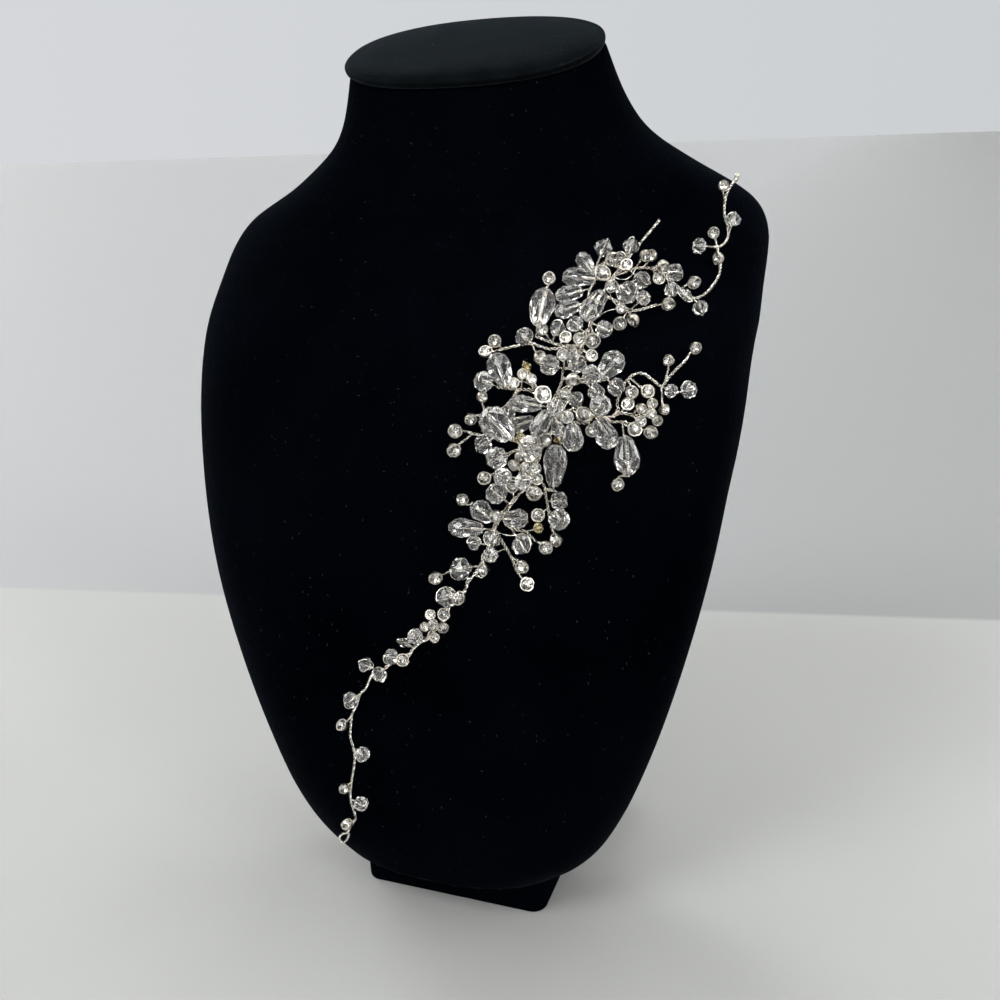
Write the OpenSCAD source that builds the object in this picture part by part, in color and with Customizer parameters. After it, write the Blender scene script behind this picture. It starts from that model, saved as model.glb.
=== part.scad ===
// Hair vine of twisted silver wire, faceted crystals and rhinestones, laid over a velvet neck bust.
// Millimetres. +Z is up and the bust faces -Y. The origin is the middle of the base block's underside.

/* [Bust] */
// Height of the velvet form, from its lower edge to the neck cap
bust_h = 250; // [220:1:290]
// Width of the velvet form at the shoulders
bust_w = 181; // [160:1:210]
// Depth of the velvet form at the shoulders
bust_d = 98; // [84:1:116]
// Squareness of the form seen from above, where 2 is an ellipse
bust_square = 2.3; // [2:0.1:2.8]
// Forward tilt of the top of the neck, in degrees
neck_tilt = 24; // [12:1:32]
// Thickness of the padded neck cap
cap_t = 4; // [3:0.5:7]
// How far the neck cap stands out past the neck
cap_lip = 1; // [0.5:0.1:2.5]

/* [Base] */
// Height of the base block
base_h = 12; // [8:1:20]
// Width of the base block
base_w = 67; // [54:1:76]
// Depth of the base block
base_d = 76; // [60:1:84]
// How far the front of the base block is set back from the front of the form
base_setback = 14; // [6:1:22]
// Corner radius of the base block
base_corner = 5; // [2:0.5:10]

/* [Wire] */
// Thickness of the twisted wire of the spine and the arms
twist_d = 0.8; // [0.7:0.05:1.1]
// Thickness of the wire stem of one stone
stem_d = 0.6; // [0.45:0.05:0.8]
// Gap between the twisted wire and the velvet
velvet_gap = 0.3; // [0.2:0.05:0.6]
// Play of a stem in its bore, on each side
bore_play = 0.08; // [0.06:0.01:0.15]
// How far a stem stands out of the far side of its stone
stem_tail = 0.5; // [0.3:0.1:0.8]
// Thickness of the wraps that bind an arm to the spine
wrap_d = 1.3; // [1.1:0.1:2]
// Length of the wraps that bind an arm to the spine
wrap_l = 2.2; // [1.5:0.1:3]

/* [Stones] */
// Diameter of a round crystal of the common size
bead_d = 5; // [4.2:0.1:5.6]
// Length of a round crystal along its bore, as a share of its diameter
bead_long = 0.9; // [0.8:0.02:1]
// Diameter of a bicone of the common size
cone_d = 4.6; // [4:0.1:5.2]
// Diameter of a small amber bicone
amber_d = 3; // [2.4:0.1:3.4]
// Diameter of a large drop
drop_d = 7; // [6:0.1:7.6]
// Length of a large drop
drop_l = 10; // [9:0.1:11]
// Depth of the peg hole in a drop, as a share of the drop's length
drop_peg = 0.35; // [0.25:0.05:0.5]
// Gap kept between neighbouring stones
stone_gap = 0.25; // [0.15:0.05:0.5]

/* [Rhinestones] */
// Outer diameter of a rhinestone cup of the common size
cup_d = 3.6; // [3.2:0.1:4]
// Wall of a rhinestone cup
cup_wall = 0.22; // [0.18:0.01:0.3]
// Metal under and over the cross bore of a cup
cup_floor = 0.22; // [0.18:0.01:0.3]
// How far the cup's rim stands up round its stone
cup_rim = 0.5; // [0.35:0.05:0.7]
// Gap between a rhinestone and its cup
seat_play = 0.1; // [0.1:0.01:0.14]
// Height of a rhinestone of the common size
stone_h = 1.1; // [0.9:0.05:1.3]
// Width of a rhinestone's table, as a share of its diameter
stone_table = 0.55; // [0.45:0.01:0.65]

/* [Facing] */
// The stones face a point this far to the right of the bust's middle
face_x = 129; // [0:1:160]
// The stones face a point this far in front of the bust's middle
face_y = 297; // [240:1:400]
// The stones face a point this high
face_z = 248; // [160:1:300]

/* [Hidden] */

// Levels of the velvet form, from its lower edge up.
// Columns: height, share of bust_h. Half width, share of half bust_w.
// Place of the front, share of bust_d behind the origin. Depth of the front half, share of half bust_d.
LEVEL = 0;
HALF = 1;
FRONT = 2;
DEEP = 3;
levels = [
    [0.000, 0.445, -0.430, 0.58],
    [0.020, 0.530, -0.440, 0.61],
    [0.056, 0.603, -0.455, 0.64],
    [0.128, 0.694, -0.470, 0.68],
    [0.248, 0.804, -0.470, 0.70],
    [0.400, 0.908, -0.455, 0.76],
    [0.560, 0.975, -0.400, 0.92],
    [0.680, 1.000, -0.295, 1.00],
    [0.744, 1.000, -0.140, 0.97],
    [0.784, 0.980, -0.040, 0.90],
    [0.816, 0.920,  0.040, 0.84],
    [0.844, 0.780,  0.090, 0.78],
    [0.872, 0.680,  0.120, 0.72],
    [0.908, 0.563,  0.145, 0.62],
    [0.952, 0.495,  0.160, 0.52],
    [1.000, 0.448,  0.170, 0.43]
];
// Depth of the back half as a share of the front half, at the shoulders and at the top of the neck
back_low = 0.8;
back_top = 1;
// Share of the height where the neck starts to tilt
tilt_from = 0.848;
form_sides = 32;
form_steps = 2;
cap_squash = 0.97;

// The vine was laid out on a bust of this width and height on a base of this height, and follows a bust
// of another size. Over the edge of the shoulder it goes on upright, from this height.
drawn_w = 181;
drawn_h = 250;
drawn_base = 12;
drawn_edge = 212;

// Routes of the twisted wires on the velvet, each a list of [across, up] points
spine = [
    [63.6, 215.7], [58.5, 209], [56, 205], [53, 201], [51.5, 196], [50.5, 191], [49.5, 186], [49, 181],
    [47.6, 175.5], [46, 170], [43.5, 165], [41, 160], [39, 155], [36.5, 150], [33, 145], [29.5, 140],
    [27.5, 135], [25.4, 129.5], [23, 125.6], [21.2, 123], [20.2, 120.5], [18.2, 118], [15.8, 116],
    [15, 113.6], [13.2, 110.5], [10.5, 107.5], [8.3, 105.2], [5, 102.5], [1.5, 98.5], [-1.5, 96.5],
    [-4.5, 95], [-6.8, 93], [-10, 91.3], [-12.8, 86], [-15, 83.5], [-16.6, 79.5], [-18.5, 76],
    [-19.5, 71.5], [-20, 67.5], [-19.3, 63.5], [-19.4, 59], [-21.5, 51], [-22.8, 44], [-22, 37],
    [-23.2, 34.5], [-26.6, 29]
];
end_loop = [
    [-26.6, 29], [-28.9, 27.2], [-31, 24.9], [-31.6, 23.2], [-31.2, 22.2], [-30.3, 22.1], [-29.3, 23.2],
    [-27.4, 25.7], [-26.2, 28.4]
];
arms = [
    // Tip of the tendril, over the shoulder
    [[82.6, 226.5], [82.2, 225], [81, 223.3], [80.1, 221.3], [79.7, 219], [79.6, 216.5], [80, 214],
     [80.6, 212], [81.2, 210.2], [80.8, 208.4], [79.6, 207.5], [78.2, 207.5]],
    // Foot of the tendril, from the top flower
    [[55.5, 204.3], [58, 203.6], [61, 203.8], [65, 203], [68, 200.8], [70.5, 198.9], [73, 196.6],
     [75.5, 195.5], [77.8, 196.2], [79.5, 198.2], [80.5, 200.5], [80.5, 203], [79.7, 205.5], [78.9, 207.5]],
    // Wires of the top flower
    [[55.3, 204], [51, 205], [48.4, 204.4], [49.2, 201.6], [48.2, 199], [48.5, 196.3], [51.3, 194.5]],
    // Link below the top flower
    [[51.9, 197.5], [56, 196], [59, 193.9], [61.5, 193.7], [64.5, 194.3], [66.5, 194.8]],
    // Arm to the left, and its second strand
    [[49.6, 186.4], [45, 185.9], [41, 185.6], [38, 186.3], [35.5, 186.9], [31, 186.2], [27.2, 185.4]],
    [[47, 186.1], [44, 186.3], [41, 187.1], [38.3, 188], [36.2, 188.6]],
    // Link from the spine to the middle flower
    [[48.9, 180.6], [45.5, 180.7], [45.3, 178], [44.6, 175.6], [43.6, 173.6], [42.6, 171.2], [42.4, 169],
     [44.1, 166.3]],
    // Wires of the left spray
    [[43, 172.2], [41.5, 174], [39, 175.7], [35.5, 175.8], [32, 176], [28, 176.4]],
    [[34, 175.8], [32.3, 173.3], [29.8, 170.8], [27.5, 170.6], [24.8, 169.6]],
    [[32.4, 173.3], [32.6, 169], [33.5, 165], [33.2, 163]],
    [[41.8, 161.6], [38, 161.8], [33, 163], [30, 163.2], [27, 164], [24, 164.1], [20.8, 164.8]],
    [[40.6, 159.2], [37, 160.6], [33.2, 159.8], [31.2, 157.4], [29.8, 154.9]],
    // Wires of the clusters in the middle
    [[48.3, 178], [52, 177.2], [54.5, 177.5], [57, 178]],
    [[40.1, 157.8], [37.2, 157], [35.5, 155.3], [37, 151.2]],
    // Wires of the right flower
    [[45.6, 169.2], [48.5, 170.8], [51.5, 171], [53.6, 169], [53, 167.4], [51.2, 167.2], [48.8, 167.6],
     [45.2, 168.4]],
    [[53.6, 169], [58, 168.4], [61, 169.2], [65, 168.4], [68, 168]],
    [[57, 168.4], [58.6, 167.2], [62, 166.9], [64.6, 165.6], [66.3, 164.8]],
    // Arm to the right
    [[59, 168.6], [60.2, 170], [59.8, 172], [60.6, 175], [62, 177.7], [64, 178.9], [66, 178.5],
     [68.2, 176.8], [70.4, 175.2], [71.6, 176.8], [73.3, 178.8], [75, 180.4], [76, 181.8]],
    // Arms of the lower cluster
    [[38.6, 154], [42, 151.5], [42.8, 148.5], [43.4, 145.5], [44, 142], [44.8, 139], [45.2, 138.2]],
    [[42.4, 150.2], [44.6, 149.8], [45.6, 149.4]],
    [[32, 143.6], [31.9, 140.6], [35, 139], [37.5, 138.6], [39.5, 136.7], [41.2, 135.6]],
    [[29, 139], [31.2, 135.5], [32.6, 133.3], [34, 130.5], [35.2, 127.5], [36.4, 125.8]],
    // Small curl beside the spine
    [[25.2, 129], [26.3, 127.6], [26.4, 126.2], [25.3, 125.2], [23.8, 125.6]]
];

// Stones, in the order in which they are laid, each on its own stem.
// Columns: kind, place across and up, size and length as shares of the kind's own, then the point on the
// wire where the stem is rooted. LAST roots the stem on the far side of the stone before.
DROP = 0;
BEAD = 1;
CONE = 2;
AMBER = 3;
CUP = 4;
LAST = undef;
stones = [
    // Tendril
    [CUP, 79.0, 223.6, 0.85, 1, [79.6, 219]],
    [BEAD, 81.9, 214.0, 0.85, 1, [81.1, 210.6]],
    [CUP, 77.5, 211.0, 0.90, 1, [79, 207]],
    [CONE, 74.4, 208.2, 1.00, 1, [78.2, 207.5]],
    [CUP, 80.0, 204.6, 1.00, 1, [80.5, 200.8]],
    [CONE, 73.0, 196.7, 0.65, 1.4, [70.2, 199.2]],
    [CONE, 77.2, 193.1, 0.95, 1.1, [75.3, 195.6]],
    [CUP, 74.3, 199.7, 1.05, 1, [71.4, 198.1]],
    [BEAD, 69.4, 202.2, 1.00, 1, [65.8, 202.4]],
    [CUP, 65.9, 204.3, 1.00, 1, [62.5, 203.5]],
    [CUP, 65.5, 200.9, 0.95, 1, [63.5, 203.3]],
    [CUP, 63.0, 206.4, 0.95, 1, [61, 203.8]],
    [CUP, 60.6, 207.0, 0.90, 1, [59, 203.7]],
    [BEAD, 69.3, 198.0, 0.80, 1, [67.6, 201.1]],
    [CUP, 68.9, 195.1, 1.05, 1, [65, 194.4]],
    [CUP, 61.3, 191.8, 1.10, 1, [58.8, 194.1]],
    // Top flower
    [DROP, 42.8, 198.2, 0.70, 0.75, [48.3, 199.2]],
    [DROP, 43.2, 194.7, 0.70, 0.70, [48.6, 196.2]],
    [DROP, 44.3, 202.0, 0.80, 0.85, [49.1, 201.6]],
    [DROP, 45.5, 205.5, 0.65, 0.65, [49.2, 201.9]],
    [BEAD, 49.5, 209.0, 1.05, 1, [48.5, 204.5]],
    [BEAD, 56.8, 209.2, 0.95, 1, [56, 205]],
    [BEAD, 54.5, 206.2, 0.75, 1, [51.5, 204.9]],
    [BEAD, 61.2, 200.8, 1.00, 1, [57.5, 203.6]],
    [BEAD, 58.2, 198.0, 1.25, 1, [53.3, 201.4]],
    [BEAD, 62.5, 196.6, 0.80, 1, [59.6, 193.8]],
    [DROP, 50.0, 195.3, 0.90, 0.90, [52.7, 200]],
    [CUP, 52.0, 206.8, 1.05, 1, [49.4, 204.7]],
    [CUP, 50.4, 202.6, 1.30, 1, [53, 200.6]],
    [CUP, 53.3, 200.0, 1.00, 1, [54.6, 203.1]],
    [CUP, 56.8, 204.4, 0.95, 1, [53.8, 202]],
    [CUP, 57.2, 194.7, 0.80, 1, [60.4, 193.8]],
    [CUP, 57.6, 191.2, 1.05, 1, [59.6, 193.9]],
    [BEAD, 54.1, 189.8, 0.95, 1, [50.6, 191.4]],
    [BEAD, 42.0, 190.2, 0.90, 1, [41, 187.1]],
    [BEAD, 46.2, 191.2, 0.90, 1, [50, 188.5]],
    // Left of the top flower
    [DROP, 36.2, 195.2, 1.00, 1.05, [36.3, 188.6]],
    [CUP, 36.7, 202.0, 1.00, 1, LAST],
    [CUP, 37.8, 190.2, 0.90, 1, [40.8, 187.2]],
    [BEAD, 33.2, 188.5, 1.00, 1, [36.4, 186.6]],
    [CUP, 25.3, 187.5, 1.00, 1, [28, 185.6]],
    [CUP, 23.7, 184.6, 1.05, 1, [27.3, 185.4]],
    [CUP, 38.3, 183.5, 1.05, 1, [36, 186.8]],
    [BEAD, 41.5, 181.8, 1.10, 1, [45.5, 180.7]],
    // Middle column
    [CUP, 47.4, 185.4, 0.90, 1, [49.2, 182.6]],
    [BEAD, 48.6, 182.2, 1.10, 1, [45.6, 180.7]],
    [BEAD, 54.2, 174.9, 0.90, 1, [51.5, 177.3]],
    [BEAD, 59.3, 175.9, 1.00, 1, [56.8, 177.9]],
    [DROP, 57.3, 181.3, 0.95, 0.80, [54.4, 177.5]],
    [BEAD, 52.7, 179.2, 1.05, 1, [48.2, 177.8]],
    [CUP, 44.7, 188.0, 0.90, 1, [43, 186.6]],
    [CUP, 47.8, 188.0, 0.90, 1, [50.4, 190.4]],
    [CUP, 51.9, 187.2, 1.15, 1, [50.6, 191]],
    [CUP, 44.9, 184.1, 0.90, 1, [45.4, 180.4]],
    [CUP, 51.9, 183.6, 0.90, 1, [49.4, 185.5]],
    [CUP, 48.0, 178.5, 1.10, 1, [45.4, 178.4]],
    [BEAD, 49.3, 173.2, 0.85, 1, [47.2, 174.3]],
    [CUP, 46.5, 174.6, 0.95, 1, [44.2, 174.8]],
    // Middle flower
    [BEAD, 31.7, 170.0, 0.80, 1, [32.4, 173.2]],
    [DROP, 36.2, 172.2, 0.70, 0.85, [42.7, 171.4]],
    [DROP, 35.6, 167.2, 0.65, 0.70, [42.4, 169.6]],
    [DROP, 40.7, 167.2, 0.75, 0.75, [43.1, 172.2]],
    [CUP, 41.6, 163.3, 1.10, 1, [43.6, 165.2]],
    [CUP, 40.3, 174.4, 1.30, 1, [42.9, 172.3]],
    [AMBER, 35.4, 163.4, 1.10, 1, [38.4, 161.8]],
    [CUP, 35.3, 159.2, 0.90, 1, [38.4, 160.4]],
    [CUP, 38.5, 158.2, 0.85, 1, [41, 160]],
    [BEAD, 38.1, 161.2, 1.25, 1, [41.1, 160.2]],
    [CUP, 34.3, 156.7, 0.85, 1, [35.9, 154.2]],
    [CUP, 36.8, 156.0, 0.90, 1, [36.3, 153.2]],
    [CUP, 39.5, 155.7, 0.85, 1, [37.6, 152.6]],
    [CUP, 40.2, 152.6, 0.90, 1, [37.2, 151.4]],
    [AMBER, 45.6, 163.2, 1.00, 1, [43.9, 165.8]],
    [DROP, 45.0, 166.4, 0.55, 0.55, [42.9, 171.8]],
    [BEAD, 44.2, 171.4, 0.95, 1, [44.5, 175.4]],
    [DROP, 44.9, 156.3, 0.95, 1.10, [44.7, 149.8]],
    // Left spray
    [DROP, 28.4, 180.7, 0.95, 0.90, [30.9, 176]],
    [BEAD, 24.1, 177.7, 1.10, 1, [28.2, 176.4]],
    [AMBER, 35.4, 181.4, 1.00, 1, [39.2, 175.7]],
    [CUP, 34.4, 179.6, 0.80, 1, [34.6, 175.8]],
    [CUP, 32.6, 177.4, 0.75, 1, [30.2, 176.2]],
    [CUP, 36.8, 178.2, 0.80, 1, [38.4, 175.7]],
    [DROP, 28.9, 166.9, 1.20, 1.00, [33.2, 163.1]],
    [CUP, 23.7, 173.8, 0.85, 1, [25.2, 169.9]],
    [CUP, 21.3, 168.5, 0.95, 1, [24.8, 169.6]],
    [CUP, 17.2, 165.2, 1.10, 1, [21, 164.8]],
    [CUP, 16.8, 160.1, 1.10, 1, [22.3, 164.4]],
    [BEAD, 25.3, 161.7, 1.05, 1, [28.6, 163.6]],
    [BEAD, 29.2, 158.2, 1.20, 1, [33.3, 159.9]],
    [CUP, 33.7, 150.6, 1.00, 1, [34.2, 146.8]],
    [BEAD, 29.4, 148.8, 1.20, 1, [33.4, 145.6]],
    [BEAD, 31.0, 153.2, 1.00, 1, [36.4, 153]],
    [CUP, 26.0, 152.4, 1.05, 1, [29.9, 155]],
    [BEAD, 36.6, 152.0, 0.95, 1, [36.1, 149.5]],
    // Right flower
    [CUP, 53.8, 165.3, 1.00, 1, [53, 167.5]],
    [CUP, 51.4, 168.9, 1.25, 1, [48.4, 170.8]],
    [DROP, 57.3, 164.3, 0.90, 0.84, [54.6, 168.9]],
    [BEAD, 55.7, 171.5, 1.15, 1, [52.2, 170.4]],
    [DROP, 49.2, 163.5, 0.85, 0.70, [48.8, 167.6]],
    [BEAD, 47.4, 168.8, 0.70, 1, [45.3, 168.6]],
    [CUP, 63.6, 174.4, 1.00, 1, [62, 177.7]],
    [CUP, 66.9, 174.0, 1.05, 1, [62.4, 178]],
    [CUP, 62.7, 171.2, 1.00, 1, [60.1, 169]],
    [CUP, 65.5, 170.4, 0.80, 1, [63.6, 168.7]],
    [CUP, 68.4, 171.2, 0.80, 1, [66.4, 168.2]],
    [CUP, 68.3, 169.0, 0.80, 1, [65.9, 168.3]],
    [CUP, 66.1, 167.0, 0.85, 1, [63, 168.8]],
    [CUP, 70.0, 166.6, 0.80, 1, [67.4, 168.1]],
    [CUP, 71.1, 169.3, 0.80, 1, [70.4, 175.2]],
    [DROP, 63.0, 158.3, 1.05, 1.00, [61.5, 166.9]],
    [CUP, 60.8, 151.0, 1.00, 1, LAST],
    [CUP, 68.6, 164.2, 1.05, 1, [66.1, 164.9]],
    [CUP, 64.4, 164.8, 1.10, 1, [61.2, 167]],
    [BEAD, 72.8, 173.8, 0.75, 1, [70.4, 175.2]],
    [BEAD, 76.9, 173.5, 0.95, 1, LAST],
    [CUP, 71.8, 181.3, 0.90, 1, [71, 176]],
    [CUP, 77.2, 184.0, 0.95, 1, [75, 180.4]],
    // Lower cluster
    [DROP, 25.6, 143.5, 0.85, 0.65, [29.6, 140.2]],
    [CUP, 19.6, 146.2, 0.95, 1, LAST],
    [DROP, 20.9, 138.8, 0.80, 0.95, [29, 138.8]],
    [BEAD, 23.2, 134.6, 0.80, 1, [27.3, 134.5]],
    [CUP, 39.6, 148.6, 1.20, 1, [42.8, 148.8]],
    [BEAD, 46.3, 147.0, 1.00, 1, [43.1, 147]],
    [BEAD, 46.5, 141.9, 1.15, 1, [43.5, 145]],
    [CUP, 41.0, 142.9, 1.05, 1, [43.5, 145]],
    [DROP, 34.9, 142.0, 0.80, 0.65, [30.7, 141.8]],
    [AMBER, 41.0, 139.6, 1.00, 1, [37.5, 138.6]],
    [CUP, 46.2, 136.4, 1.05, 1, [44.7, 139.6]],
    [CUP, 43.2, 134.5, 1.05, 1, [40.2, 136.3]],
    [BEAD, 36.6, 134.8, 1.15, 1, [33.4, 139.8]],
    [CUP, 36.9, 129.0, 1.05, 1, [33.4, 131.8]],
    [CUP, 37.9, 123.5, 1.10, 1, [35.2, 127.5]],
    [BEAD, 28.4, 136.2, 1.00, 1, [29.9, 140.6]],
    [BEAD, 27.9, 131.6, 0.85, 1, [32.4, 133.6]],
    [CUP, 26.4, 127.4, 0.95, 1, [25.8, 130.6]],
    [CUP, 29.3, 143.0, 1.00, 1, [32.6, 144.4]],
    // Lower strand
    [BEAD, 19.3, 127.1, 1.30, 1, [24.9, 128.3]],
    [CUP, 11.6, 124.2, 1.10, 1, LAST],
    [BEAD, 14.9, 118.2, 1.20, 1, [20.2, 120.5]],
    [CUP, 18.9, 118.1, 1.15, 1, [20.9, 122.4]],
    [CUP, 13.8, 113.2, 1.00, 1, [15.6, 115.6]],
    [CUP, 10.7, 105.7, 0.80, 1, [7.6, 104.7]],
    [CUP, 13.4, 109.4, 0.90, 1, [10.9, 107.9]],
    [CUP, 7.8, 108.3, 0.80, 1, [11, 108]],
    [CUP, 9.5, 112.4, 0.85, 1, [12.2, 109.4]],
    [CUP, 10.7, 109.9, 0.80, 1, [7.9, 104.8]],
    [BEAD, 4.7, 105.3, 0.90, 1, [8.3, 105.2]],
    [CONE, 1.2, 102.9, 0.65, 1, [4, 101.6]],
    [BEAD, -3.4, 97.8, 0.95, 1, [0.9, 98.1]],
    [CUP, 0.3, 97.2, 1.05, 1, [3.4, 100.9]],
    [CONE, -12.3, 93.8, 1.05, 1, [-8, 92.4]],
    [BEAD, -7.8, 91.2, 0.95, 1, [-4.9, 94.7]],
    [BEAD, -18.5, 80.8, 1.00, 1, [-15, 83.5]],
    [CUP, -22.2, 71.0, 1.05, 1, [-18.6, 75.6]],
    [BEAD, -16.2, 62.3, 0.95, 1, [-19.3, 64]],
    [CUP, -24.8, 47.8, 1.00, 1, [-21.6, 50.4]],
    [BEAD, -18.9, 43.2, 0.95, 1, [-22.7, 44]],
    [CUP, -25.9, 31.8, 1.10, 1, [-22.7, 35.5]]
];

// Colours
velvet_black = [0.03, 0.035, 0.045];
silver = [0.82, 0.80, 0.78];
clear = [0.85, 0.87, 0.90];
bright = [0.95, 0.95, 0.97];
honey = [0.80, 0.62, 0.30];

unit_step = 0.5;
wire_sides = 5;
facets = 8;
girdle = 0.2;
corner_share = 0.55;
chain_share = 1;
turn_limit = 20;
lean_limit = 0.15;
follow = 0.5;
face_point = [face_x, -face_y, face_z];
wire_top = velvet_gap + (twist_d + wrap_d) / 2;
cup_bore = stem_d / 2 + bore_play;
cup_back = cup_floor + cup_bore;
cup_seat = cup_bore + cup_floor;
hollow = 0.1;

function unit(v) = v / norm(v);

// Smooth curve through one column of the levels, at a share s of the height
function slope(c, i) = let (a = max(i - 1, 0), b = min(i + 1, len(levels) - 1))
    (levels[b][c] - levels[a][c]) / (levels[b][LEVEL] - levels[a][LEVEL]);
function row_under(s, i = 0) = i >= len(levels) - 2 || s < levels[i + 1][LEVEL] ? i : row_under(s, i + 1);
function smooth(c, s) = let (i = row_under(s), a = levels[i], b = levels[i + 1], h = b[LEVEL] - a[LEVEL],
    t = (s - a[LEVEL]) / h)
    a[c] * (1 + 2 * t) * pow(1 - t, 2) + slope(c, i) * h * t * pow(1 - t, 2)
    + b[c] * t * t * (3 - 2 * t) + slope(c, i + 1) * h * t * t * (t - 1);
function half_w(s) = smooth(HALF, s) * bust_w / 2;
function front_y(s) = smooth(FRONT, s) * bust_d;
function front_deep(s) = smooth(DEEP, s) * bust_d / 2;

// Place of the velvet's front at a point across and up
edge_z = base_h + (drawn_edge - drawn_base) * bust_h / drawn_h;
function velvet_y(x, z) = let (s = (min(z, edge_z) - base_h) / bust_h, r = min(1, abs(x) / half_w(s)))
    front_y(s) + front_deep(s) * (1 - pow(1 - pow(r, bust_square), 1 / bust_square));
function velvet_normal(p) = unit([
    (velvet_y(p.x + unit_step, p.z) - velvet_y(p.x - unit_step, p.z)) / (2 * unit_step), -1,
    (velvet_y(p.x, p.z + unit_step) - velvet_y(p.x, p.z - unit_step)) / (2 * unit_step)
]);
function spot(x, z) = let (across = x * bust_w / drawn_w, up = base_h + (z - drawn_base) * bust_h / drawn_h)
    [across, velvet_y(across, up), up];
function towards_face(p) = unit(face_point - p);
// Point over a spot, so far off the velvet, on the line towards the facing point
function over(p, off) = p + towards_face(p) * off / (towards_face(p) * velvet_normal(p));
function wire_point(w) = over(spot(w[0], w[1]), velvet_gap + twist_d / 2);

// Size and length of a stone
function size_of(s) = s[3] * [drop_d, bead_d, cone_d, amber_d, cup_d][s[0]];
function length_of(s) = s[4] * (s[0] == DROP ? drop_l : s[0] == BEAD ? size_of(s) * bead_long
    : s[0] == CONE ? cone_d : s[0] == AMBER ? amber_d : size_of(s));
// Balls that fill a stone, as [offset along the stem, offset towards the front, radius]
function balls_of(s) = let (
    d = size_of(s), l = length_of(s), tail = [l / 2 + stem_tail, 0, stem_d / 2 + bore_play]
)
    s[0] == DROP ? [[l / 2 - d / 2, 0, d / 2], [-l / 2 + 0.3 * d, 0, 0.3 * d]]
    : s[0] == CUP ? [[0, (cup_seat + stone_h - cup_back) / 2, d / 2 + 0.12], tail]
    : [[0, 0, corner_share * d], tail];

// Lift that a stone needs to clear the velvet, the wires and the stones laid before it
function rise(ball, c, u, n, laid) = let (
    depth = (velvet_y(c.x, c.z) - c.y) * abs(n.y),
    over_velvet = (ball[2] + wire_top - depth) / (u * n),
    over_stones = [for (one = laid) for (b = one[6]) let (w = c - b[0], need = ball[2] + b[1] + stone_gap)
        if (norm(w) < need - 0.001) -(u * w) + sqrt(pow(u * w, 2) - w * w + need * need)]
) max(concat([0, over_velvet], over_stones));
function settle(s, p, u, n, b, f, laid, lift = 0, tries = 0) = let (
    more = max([for (ball = balls_of(s)) rise(ball, p + u * lift + b * ball[0] + f * ball[1], u, n, laid)])
) more < 0.002 || tries > 40 ? lift : settle(s, p, u, n, b, f, laid, lift + more, tries + 1);

// Each stone laid: [kind, centre, stem direction, facing direction, size, length, balls, stem points]
turns = rands(-1, 1, len(stones), 11);
leans = rands(-1, 1, len(stones), 12);
function is_last(s) = is_undef(s[5]);
function goes_through(i) = stones[i][0] != DROP || (i + 1 < len(stones) && is_last(stones[i + 1]));
function lay(i, laid) = let (
    s = stones[i],
    p = spot(s[1], s[2]),
    u = towards_face(p),
    n = velvet_normal(p),
    before = laid[len(laid) - 1],
    from = is_last(s) ? before[1] : over(spot(s[5][0], s[5][1]), velvet_gap + twist_d / 2),
    flat = is_last(s) ? spot(stones[i - 1][1], stones[i - 1][2]) : spot(s[5][0], s[5][1]),
    along = p - flat,
    across_view = unit(along - (along * u) * u * (s[0] == CUP ? 1 : follow)),
    b = unit(across_view + u * leans[i] * lean_limit),
    level = unit(u - (u * b) * b),
    turned = turns[i] * turn_limit,
    f = level * cos(turned) + cross(b, level) * sin(turned),
    lift = settle(s, p, u, n, b, f, laid, is_last(s) ? norm(before[1] - flat) * chain_share : 0),
    c = p + u * lift,
    d = size_of(s),
    l = length_of(s),
    root = is_last(s) ? before[7][len(before[7]) - 1] : from,
    straight = s[0] == BEAD || s[0] == CONE || s[0] == AMBER,
    t = straight ? unit(c - root) : b,
    far = goes_through(i) ? c + t * (l / 2 + stem_tail) : c - t * (l * (0.5 - drop_peg) + hollow),
    stem = straight ? [root, far] : [root, c - t * (l / 2 + stem_tail), far],
    foot = stem[1] - root,
    balls = concat([for (ball = balls_of(s)) [c + t * ball[0] + f * ball[1], ball[2]]],
        [for (share = [0.3, 0.5, 0.7, 0.9]) if (!straight || norm(foot) * share < norm(c - root) - d / 2)
            [root + foot * share, stem_d / 2 + bore_play]])
) [s[0], c, t, unit(f - (f * t) * t), d, l, balls, stem];
function lay_all(i = 0, laid = []) = i == len(stones) ? laid : lay_all(i + 1, concat(laid, [lay(i, laid)]));
laid_stones = lay_all();
laid_drops = [for (one = laid_stones) if (one[0] == DROP) one];

// Closed skin over rings of points, each ring running the same way round
module skin(rings) {
    n = len(rings[0]);
    last = len(rings) - 1;
    polyhedron(
        points = [for (ring = rings) each ring],
        faces = concat(
            [[for (k = [n - 1 : -1 : 0]) k]],
            [for (i = [0 : last - 1]) for (k = [0 : n - 1]) let (a = i * n + k, b = i * n + (k + 1) % n)
                each [[a, b + n, a + n], [a, b, b + n]]],
            [[for (k = [0 : n - 1]) last * n + k]]
        )
    );
}

// Round bar of a few sides through some points, with a side direction for its rings
function ring_at(p, along, aside, d) = let (e = unit(cross(along, aside)), g = cross(e, along))
    [for (k = [0 : wire_sides - 1]) let (a = 360 * k / wire_sides) p + d / 2 * (cos(a) * e + sin(a) * g)];
module bar(points, asides, d) {
    last = len(points) - 1;
    skin([for (i = [0 : last])
        ring_at(points[i], unit(points[min(i + 1, last)] - points[max(i - 1, 0)]), asides[i], d)]);
}

// Solid of a few flat sides turned about its own axis, from [height, radius] rows
module cut_solid(rows, sides) {
    skin([for (row = rows) [for (k = [0 : sides - 1])
        [row[1] * cos(360 * k / sides), -row[1] * sin(360 * k / sides), row[0]]]]);
}

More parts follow.
